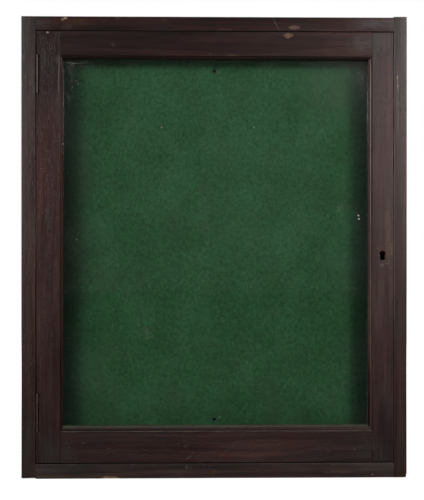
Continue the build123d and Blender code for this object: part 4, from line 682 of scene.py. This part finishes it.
# ---------------------------------------------------------------- baize
def baize():
    """Green wool cloth, fulled and napped: soft mottling over a faint weave, with painted shadow of the frame at its
    margins, painted light and shade across it, and a little lighter in the middle.
    """
    mat, t, out = new_material("baize")
    coord = t.add("ShaderNodeTexCoord")
    p = coord.outputs["Object"]
    x, y, z = t.xyz(p)
    bend = t.vec("SCALE", t.noise3(p, 60.0, 2.0), scale=0.0016)
    q = t.vec("ADD", p, bend)
    qx, qy, qz = t.xyz(q)
    warp = t.math("SINE", t.mul(qx, 2 * math.pi / 0.00125))
    weft = t.math("SINE", t.mul(qz, 2 * math.pi / 0.00140))
    weave = t.mul(warp, weft)
    nap = t.noise(t.vec("MULTIPLY", q, (1.0, 1.0, 0.55)), 620.0, 3.0, 0.65)
    fuzz = t.noise(t.vec("MULTIPLY", q, (0.6, 1.0, 1.0)), 1500.0, 2.0, 0.6)
    mottle = t.noise(q, 190.0, 3.0, 0.6)
    cloud = t.noise(p, 17.0, 4.0, 0.6)
    column = t.noise(t.join(t.mul(x, 1.0), 0.0, t.mul(z, 0.08)), 34.0, 2.0, 0.5)
    speck2 = t.noise(t.vec("MULTIPLY", q, (1.0, 1.0, 0.8)), 330.0, 2.0, 0.6)
    level = t.mul(t.remap(mottle, 0.22, 0.78, 0.78, 1.24, False), t.remap(speck2, 0.25, 0.75, 0.76, 1.26, False), t.remap(nap, 0.25, 0.75, 0.82, 1.20, False), t.remap(fuzz, 0.25, 0.75, 0.93, 1.08, False), t.remap(weave, -1.0, 1.0, 0.94, 1.05, False), t.remap(cloud, 0.28, 0.72, 0.90, 1.10, False), t.remap(column, 0.3, 0.7, 0.96, 1.05, False))
    colour = t.mix(t.remap(cloud, 0.35, 0.68), lin(43, 79, 51), lin(45, 83, 56))
    # painted shadow of the frame along the left, right and top margins, duller there, partly standing for cloth kept
    # from fading; painted shade towards the left, most at mid-height; painted light brighter towards the top; a little
    # lighter in the middle
    top = t.less(SIGHT_T, z)
    left = t.plus(t.remap(t.less(x, SIGHT_L), -0.004, 0.028, 0.27, 0.84), t.remap(t.less(x, SIGHT_L), 0.02, 0.06, 0.0, 0.16))
    right = t.plus(t.remap(t.less(SIGHT_R, x), -0.004, 0.024, 0.46, 0.95), t.remap(t.less(SIGHT_R, x), 0.02, 0.05, 0.0, 0.05))
    edge = t.least(left, right, t.remap(top, -0.004, 0.010, 0.78, 1.0))
    middle = t.remap(t.vec("LENGTH", t.vec("MULTIPLY", t.vec("SUBTRACT", p, (0.0, 0.0, 0.03)), (1.0, 0.0, 0.85))), 0.30, 0.05, 0.96, 1.04)
    shaded = t.mul(t.remap(x, -0.18, 0.18, 0.12, 0.0), t.remap(z, -0.14, 0.02, 0.15, 1.0), t.remap(z, 0.12, 0.20, 1.0, 0.5))
    margin = t.mul(t.remap(t.less(x, SIGHT_L), 0.016, 0.042, 1.0, 0.0), t.less(t.remap(t.math("ABSOLUTE", t.less(z, 0.055)), 0.05, 0.23, 0.94, 1.16), 1.0))
    painted_light_and_shade_level = t.mul(t.remap(z, -0.10, 0.22, 0.975, 1.17), t.less(1.0, shaded), t.plus(1.0, margin))
    colour = t.mix(t.remap(edge, 0.95, 0.45), colour, t.mix(1.0, colour, (1.10, 0.86, 1.02, 1.0), "MULTIPLY"))
    colour = t.vec("SCALE", colour, scale=t.mul(level, edge, middle, painted_light_and_shade_level))
    lint = t.remap(t.noise(t.vec("MULTIPLY", q, (1.0, 1.0, 0.3)), 900.0, 1.0), 0.735, 0.775)
    colour = t.mix(t.mul(lint, 0.30), colour, lin(150, 160, 140))
    flat = t.vec("MULTIPLY", t.vec("ADD", p, t.vec("SCALE", t.noise3(p, 500.0, 2.0), scale=0.0012)), (1, 0, 1))
    rag = t.mul(t.less(t.noise(p, 300.0, 3.0), 0.5), 1.0)
    # soiled rings round the two screw holes, and a pale rubbed patch beside the lower one
    for cx, cz, rx, rz, tint, k in ((0.0013, -0.232, 0.0058, 0.0052, lin(58, 72, 78), 0.55), (0.0013, 0.238, 0.0045, 0.0050, lin(30, 40, 34), 0.5), (0.0082, -0.2295, 0.0024, 0.0018, lin(120, 132, 116), 0.5), (0.0105, 0.2278, 0.0020, 0.0018, lin(96, 118, 98), 0.4)):
        colour = t.mix(t.mul(t.group(PATCH, flat, (cx, 0, cz), (rx, 1, rz), 0.7, rag), k), colour, tint)
    height = t.plus(t.mul(nap, 0.8), t.mul(fuzz, 0.5), t.mul(weave, 0.10), t.mul(mottle, 0.7))
    surface(t, out, colour, 0.95, (height, 0.0006, 0.7), shine=0.12, sheen=0.10, sheen_rough=0.45, sheen_tint=lin(150, 190, 150))
    return mat


def baize_sheet():
    """The lining as cloth: stuck down flat, but never dead level, with two pierced and slightly raised holes and a small cut."""
    rng = random.Random(7)
    x0, x1, z0, z1 = -0.2352, 0.2368, -0.2844, 0.2847
    points, edges = [], []

    def loop(outline):
        start = len(points)
        points.extend(outline)
        n = len(outline)
        edges.extend((start + i, start + (i + 1) % n) for i in range(n))

    def side(a, b, n):
        return [(a[0] + (b[0] - a[0]) * i / n, a[1] + (b[1] - a[1]) * i / n) for i in range(n)]

    corners = [(x0, z0), (x1, z0), (x1, z1), (x0, z1)]
    rim = []
    for i, n in enumerate((76, 92, 76, 92)):
        rim += side(corners[i], corners[(i + 1) % 4], n)
    loop(rim)
    holes = []
    for cx, cz in ((0.0013, 0.238), (0.0013, -0.232)):
        ring = []
        for i in range(26):
            a = 2 * math.pi * i / 26
            r = 0.00220 * (1 - 0.10 * rng.random())
            ring.append((cx + r * math.cos(a), cz + r * math.sin(a)))
        if cz > 0:  # the short cut runs up from the top hole
            top = max(range(26), key=lambda i: ring[i][1])
            cut = [(cx + 0.00045, cz + 0.0024), (cx + 0.00038, cz + 0.0056), (cx + 0.00030, cz + 0.0090), (cx + 0.0001, cz + 0.0107), (cx - 0.00012, cz + 0.0090), (cx - 0.00022, cz + 0.0056), (cx - 0.00030, cz + 0.0024)]
            ring = ring[:top] + cut + ring[top + 1:]
        loop(ring)
        holes.append((cx, cz, ring))
    for radius, n in ((0.0031, 26), (0.0044, 26), (0.0066, 24)):
        for cx, cz in ((0.0013, 0.238), (0.0013, -0.232)):
            for i in range(n):
                a = 2 * math.pi * (i + 0.5) / n
                q = (cx + radius * math.cos(a), cz + radius * math.sin(a))
                if cz > 0 and abs(q[0] - cx) < 0.0016 and q[1] > cz:
                    continue
                points.append(q)
    step = 0.0062
    nx, nz = int((x1 - x0) / step), int((z1 - z0) / step)
    for i in range(1, nx):
        for j in range(1, nz):
            q = (x0 + (x1 - x0) * i / nx + rng.uniform(-1, 1) * 0.0011, z0 + (z1 - z0) * j / nz + rng.uniform(-1, 1) * 0.0011)
            if all(math.hypot(q[0] - cx, q[1] - cz) > 0.0085 for cx, cz, _ in holes) and not (abs(q[0] - 0.0013) < 0.003 and 0.238 < q[1] < 0.2515):
                points.append(q)
    verts, _, faces, _, _, _ = delaunay_2d_cdt([Vector(q) for q in points], edges, [], 2, 1e-7)

    def outside(c):
        for cx, cz, ring in holes:
            if math.hypot(c[0] - cx, c[1] - cz) < 0.012:
                hit = False
                for i in range(len(ring)):
                    (ax, az), (bx, bz) = ring[i], ring[i - 1]
                    if (az > c[1]) != (bz > c[1]) and c[0] < (bx - ax) * (c[1] - az) / (bz - az) + ax:
                        hit = not hit
                if hit:
                    return True
        return False

    faces = [f for f in faces if not outside(sum((verts[i] for i in f), Vector((0, 0))) / len(f))]
    waves = [(rng.uniform(8, 60), rng.uniform(0, 6.28), rng.uniform(0, 6.28), rng.uniform(0.3, 1.0)) for _ in range(14)]

    def lift(x, z):
        total = 0.0
        for k, turn, phase, size in waves:
            total += size * math.sin(k * (x * math.cos(turn) + z * math.sin(turn)) * 2 + phase)
        h = 0.00006 * total
        for cx, cz, _ in holes:
            d = math.hypot(x - cx, z - cz)
            h += 0.00050 * math.exp(-((d - 0.0024) / 0.0016) ** 2)
        edge = min(x - x0, x1 - x, z - z0, z1 - z)
        return h * min(1.0, edge / 0.006) if edge < 0.006 else h

    n = len(verts)
    coords = [(v[0], BAIZE_FACE - max(-0.0002, lift(v[0], v[1])), v[1]) for v in verts]
    coords += [(v[0], BAIZE_BACK, v[1]) for v in verts]
    out_faces = []
    once = {}
    for f in faces:
        a, b, c = (Vector((verts[i][0], 0, verts[i][1])) for i in f[:3])
        order = list(f) if (b - a).cross(c - a).y < 0 else list(reversed(f))
        out_faces.append(order)
        out_faces.append([i + n for i in reversed(order)])
        for i in range(len(order)):
            once[(order[i], order[(i + 1) % len(order)])] = True
    for a, b in list(once):
        if (b, a) not in once:
            out_faces.append([b, a, a + n, b + n])
    mesh = bpy.data.meshes.new("baize_cloth")
    mesh.from_pydata(coords, [], out_faces)
    mesh.validate()
    for poly in mesh.polygons:
        poly.use_smooth = abs(poly.normal.y) > 0.5
    piece = bpy.data.objects.new("baize_cloth", mesh)
    bpy.context.scene.collection.objects.link(piece)
    mesh.materials.append(baize())
    return piece


cloth = baize_sheet()
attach(cloth, "case")
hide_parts("baize_lining")


# ---------------------------------------------------------------- softened arrises
def prepare_group():
    """Joins the split corners of an imported node, so that its edges can be eased."""
    tree = bpy.data.node_groups.new("join_corners", "GeometryNodeTree")
    tree.interface.new_socket("Geometry", in_out="INPUT", socket_type="NodeSocketGeometry")
    tree.interface.new_socket("Geometry", in_out="OUTPUT", socket_type="NodeSocketGeometry")
    t = Tree(tree)
    gin, gout = t.add("NodeGroupInput"), t.add("NodeGroupOutput")
    drop = t.add("GeometryNodeRemoveAttribute")
    drop.inputs["Name"].default_value = "custom_normal"
    t.put(gin.outputs[0], drop.inputs["Geometry"])
    merge = t.add("GeometryNodeMergeByDistance")
    merge.inputs["Distance"].default_value = 2e-6
    t.put(drop.outputs[0], merge.inputs["Geometry"])
    t.put(merge.outputs[0], gout.inputs[0])
    return tree


def weight_group(name, shortest, flush_ends=False):
    """Marks the sharp edges that are long enough to be eased, and shades the rest by angle.
    flush_ends leaves out the upright edges of the front, where a board butts against another."""
    tree = bpy.data.node_groups.new(name, "GeometryNodeTree")
    tree.interface.new_socket("Geometry", in_out="INPUT", socket_type="NodeSocketGeometry")
    tree.interface.new_socket("Geometry", in_out="OUTPUT", socket_type="NodeSocketGeometry")
    t = Tree(tree)
    gin, gout = t.add("NodeGroupInput"), t.add("NodeGroupOutput")
    angle = t.add("GeometryNodeInputMeshEdgeAngle").outputs["Unsigned Angle"]
    ends = t.add("GeometryNodeInputMeshEdgeVertices")
    length = t.vec("DISTANCE", ends.outputs["Position 1"], ends.outputs["Position 2"])
    sharp = t.math("GREATER_THAN", angle, math.radians(32))
    weight = t.mul(sharp, t.math("GREATER_THAN", length, shortest))
    if flush_ends:
        x0, y0, _ = t.xyz(ends.outputs["Position 1"])
        x1, y1, _ = t.xyz(ends.outputs["Position 2"])
        upright = t.math("LESS_THAN", t.math("ABSOLUTE", t.less(x0, x1)), 0.0001)
        weight = t.mul(weight, t.less(1.0, t.mul(upright, t.math("LESS_THAN", t.most(y0, y1), FRONT + 0.0003))))
    store = t.add("GeometryNodeStoreNamedAttribute", data_type="FLOAT", domain="EDGE")
    store.inputs["Name"].default_value = "bevel_weight_edge"
    t.put(gin.outputs[0], store.inputs["Geometry"])
    t.put(weight, store.inputs["Value"])
    faces = t.add("GeometryNodeSetShadeSmooth", domain="FACE")
    faces.inputs["Shade Smooth"].default_value = True
    t.put(store.outputs[0], faces.inputs["Geometry"])
    edges = t.add("GeometryNodeSetShadeSmooth", domain="EDGE")
    t.put(faces.outputs[0], edges.inputs["Geometry"])
    t.put(t.math("LESS_THAN", angle, math.radians(32)), edges.inputs["Shade Smooth"])
    t.put(edges.outputs[0], gout.inputs[0])
    return tree


JOIN = prepare_group()
WOOD_WEIGHT, METAL_WEIGHT = weight_group("ease_wood", 0.012), weight_group("ease_metal", 0.004)
BUTT_WEIGHT = weight_group("ease_butted", 0.012, True)


def ease(node, width, weight):
    o = NODES[node]
    m = o.modifiers.new("join", "NODES")
    m.node_group = JOIN
    m = o.modifiers.new("planes", "DECIMATE")
    m.decimate_type = "DISSOLVE"
    m.angle_limit = math.radians(0.6)
    m = o.modifiers.new("weights", "NODES")
    m.node_group = weight
    m = o.modifiers.new("ease", "BEVEL")
    m.limit_method = "WEIGHT"
    m.width = width
    m.segments = 2
    m.use_clamp_overlap = False
    m.harden_normals = True


for node in MEMBERS:
    butted = node in ("case_top", "case_bottom", "door_rail_top", "door_rail_bottom")
    ease(node, 0.0005 if node.startswith(("case", "door_stile", "door_rail")) else 0.0003, BUTT_WEIGHT if butted else WOOD_WEIGHT)
for node in ("back_board_left", "back_board_centre", "back_board_right"):
    ease(node, 0.0004, WOOD_WEIGHT)
for node in ("hinge_upper_case_leaf", "hinge_lower_case_leaf", "hinge_upper_door_leaf", "hinge_lower_door_leaf", "lock_plate", "lock_cap", "strike_plate", "lock_bolt"):
    ease(node, 0.00012, METAL_WEIGHT)


# ---------------------------------------------------------------- floor, lights and camera
def pale_floor():
    mat, t, out = new_material("pale_floor")
    d = t.add("ShaderNodeBsdfDiffuse")
    path = t.add("ShaderNodeLightPath")
    t.put(t.mix(path.outputs["Is Glossy Ray"], (0.80, 0.80, 0.80, 1), (0.02, 0.02, 0.02, 1)), d.inputs["Color"])
    e = t.add("ShaderNodeEmission")
    e.inputs["Color"].default_value = (1, 1, 1, 1)
    far = t.remap(t.vec("LENGTH", t.add("ShaderNodeTexCoord").outputs["Object"]), 0.45, 1.3, 0.82, 1.0)
    t.put(t.mul(path.outputs["Is Camera Ray"], far), e.inputs["Strength"])
    s = t.add("ShaderNodeAddShader")
    t.put(d.outputs[0], s.inputs[0])
    t.put(e.outputs[0], s.inputs[1])
    t.put(s.outputs[0], out.inputs["Surface"])
    mesh = bpy.data.meshes.new("floor")
    r, zf = 9.0, -0.3046
    mesh.from_pydata([(-r, -r, zf), (r, -r, zf), (r, r, zf), (-r, r, zf)], [], [(0, 1, 2, 3)])
    floor = bpy.data.objects.new("floor", mesh)
    bpy.context.scene.collection.objects.link(floor)
    mesh.materials.append(mat)


def hole_shade_cards():
    """Black card behind the two screw holes, painted shade, so that they look as dark as they do on a wall."""
    mat, t, out = new_material("hole_shade_black")
    d = t.add("ShaderNodeBsdfDiffuse")
    d.inputs["Color"].default_value = (0.006, 0.006, 0.006, 1)
    t.put(d.outputs[0], out.inputs["Surface"])
    verts, faces = [], []
    for cz in (0.238, -0.232):
        start = len(verts)
        verts += [(0.0013 + 0.00225 * math.cos(2 * math.pi * i / 32), -0.0035, cz + 0.00225 * math.sin(2 * math.pi * i / 32)) for i in range(32)]
        faces.append(list(range(start, start + 32)))
    mesh = bpy.data.meshes.new("hole_shade_cards")
    mesh.from_pydata(verts, [], faces)
    cards = bpy.data.objects.new("hole_shade_cards", mesh)
    bpy.context.scene.collection.objects.link(cards)
    mesh.materials.append(mat)


def lamp(name, place, aim, size, power, tint=(1, 1, 1)):
    data = bpy.data.lights.new(name, "AREA")
    data.shape = "RECTANGLE"
    data.size, data.size_y = size
    data.energy = power
    data.color = tint
    o = bpy.data.objects.new(name, data)
    o.location = place
    o.rotation_euler = (Vector(aim) - Vector(place)).to_track_quat("-Z", "Y").to_euler()
    o.visible_camera = False
    bpy.context.scene.collection.objects.link(o)
    return o


pale_floor()
hole_shade_cards()
lamp("key_right", (1.40, -3.20, 0.60), (0, 0, 0), (0.75, 0.60), 49, (1.0, 0.955, 0.945))
lamp("key_left", (-1.70, -3.20, 0.60), (0, 0, 0), (1.05, 0.60), 46, (1.0, 0.955, 0.945))
lamp("top", (0.0, -0.75, 2.1), (0, -0.1, 0), (1.8, 0.8), 12)
lamp("back", (0.4, 2.4, 1.3), (0, 0, 0), (1.6, 1.2), 40)

world = bpy.data.worlds.new("studio")
bpy.context.scene.world = world
world.use_nodes = True
w = Tree(world.node_tree)
world.node_tree.nodes.clear()
back = w.add("ShaderNodeBackground")
w.put(w.mix(w.add("ShaderNodeLightPath").outputs["Is Camera Ray"], (0.045, 0.045, 0.047, 1), (1.0, 1.0, 1.0, 1)), back.inputs["Color"])
w.put(back.outputs[0], w.add("ShaderNodeOutputWorld").inputs["Surface"])

camera = bpy.data.cameras.new("camera")
camera.lens = LENS
camera.sensor_width = 36.0
camera.sensor_fit = "AUTO"
camera.clip_start, camera.clip_end = 0.05, 60.0
eye = bpy.data.objects.new("camera", camera)
eye.location = EYE
eye.rotation_euler = (AIM - EYE).to_track_quat("-Z", "Y").to_euler()
bpy.context.scene.collection.objects.link(eye)
bpy.context.scene.camera = eye
bpy.context.scene.view_settings.view_transform = "Standard"
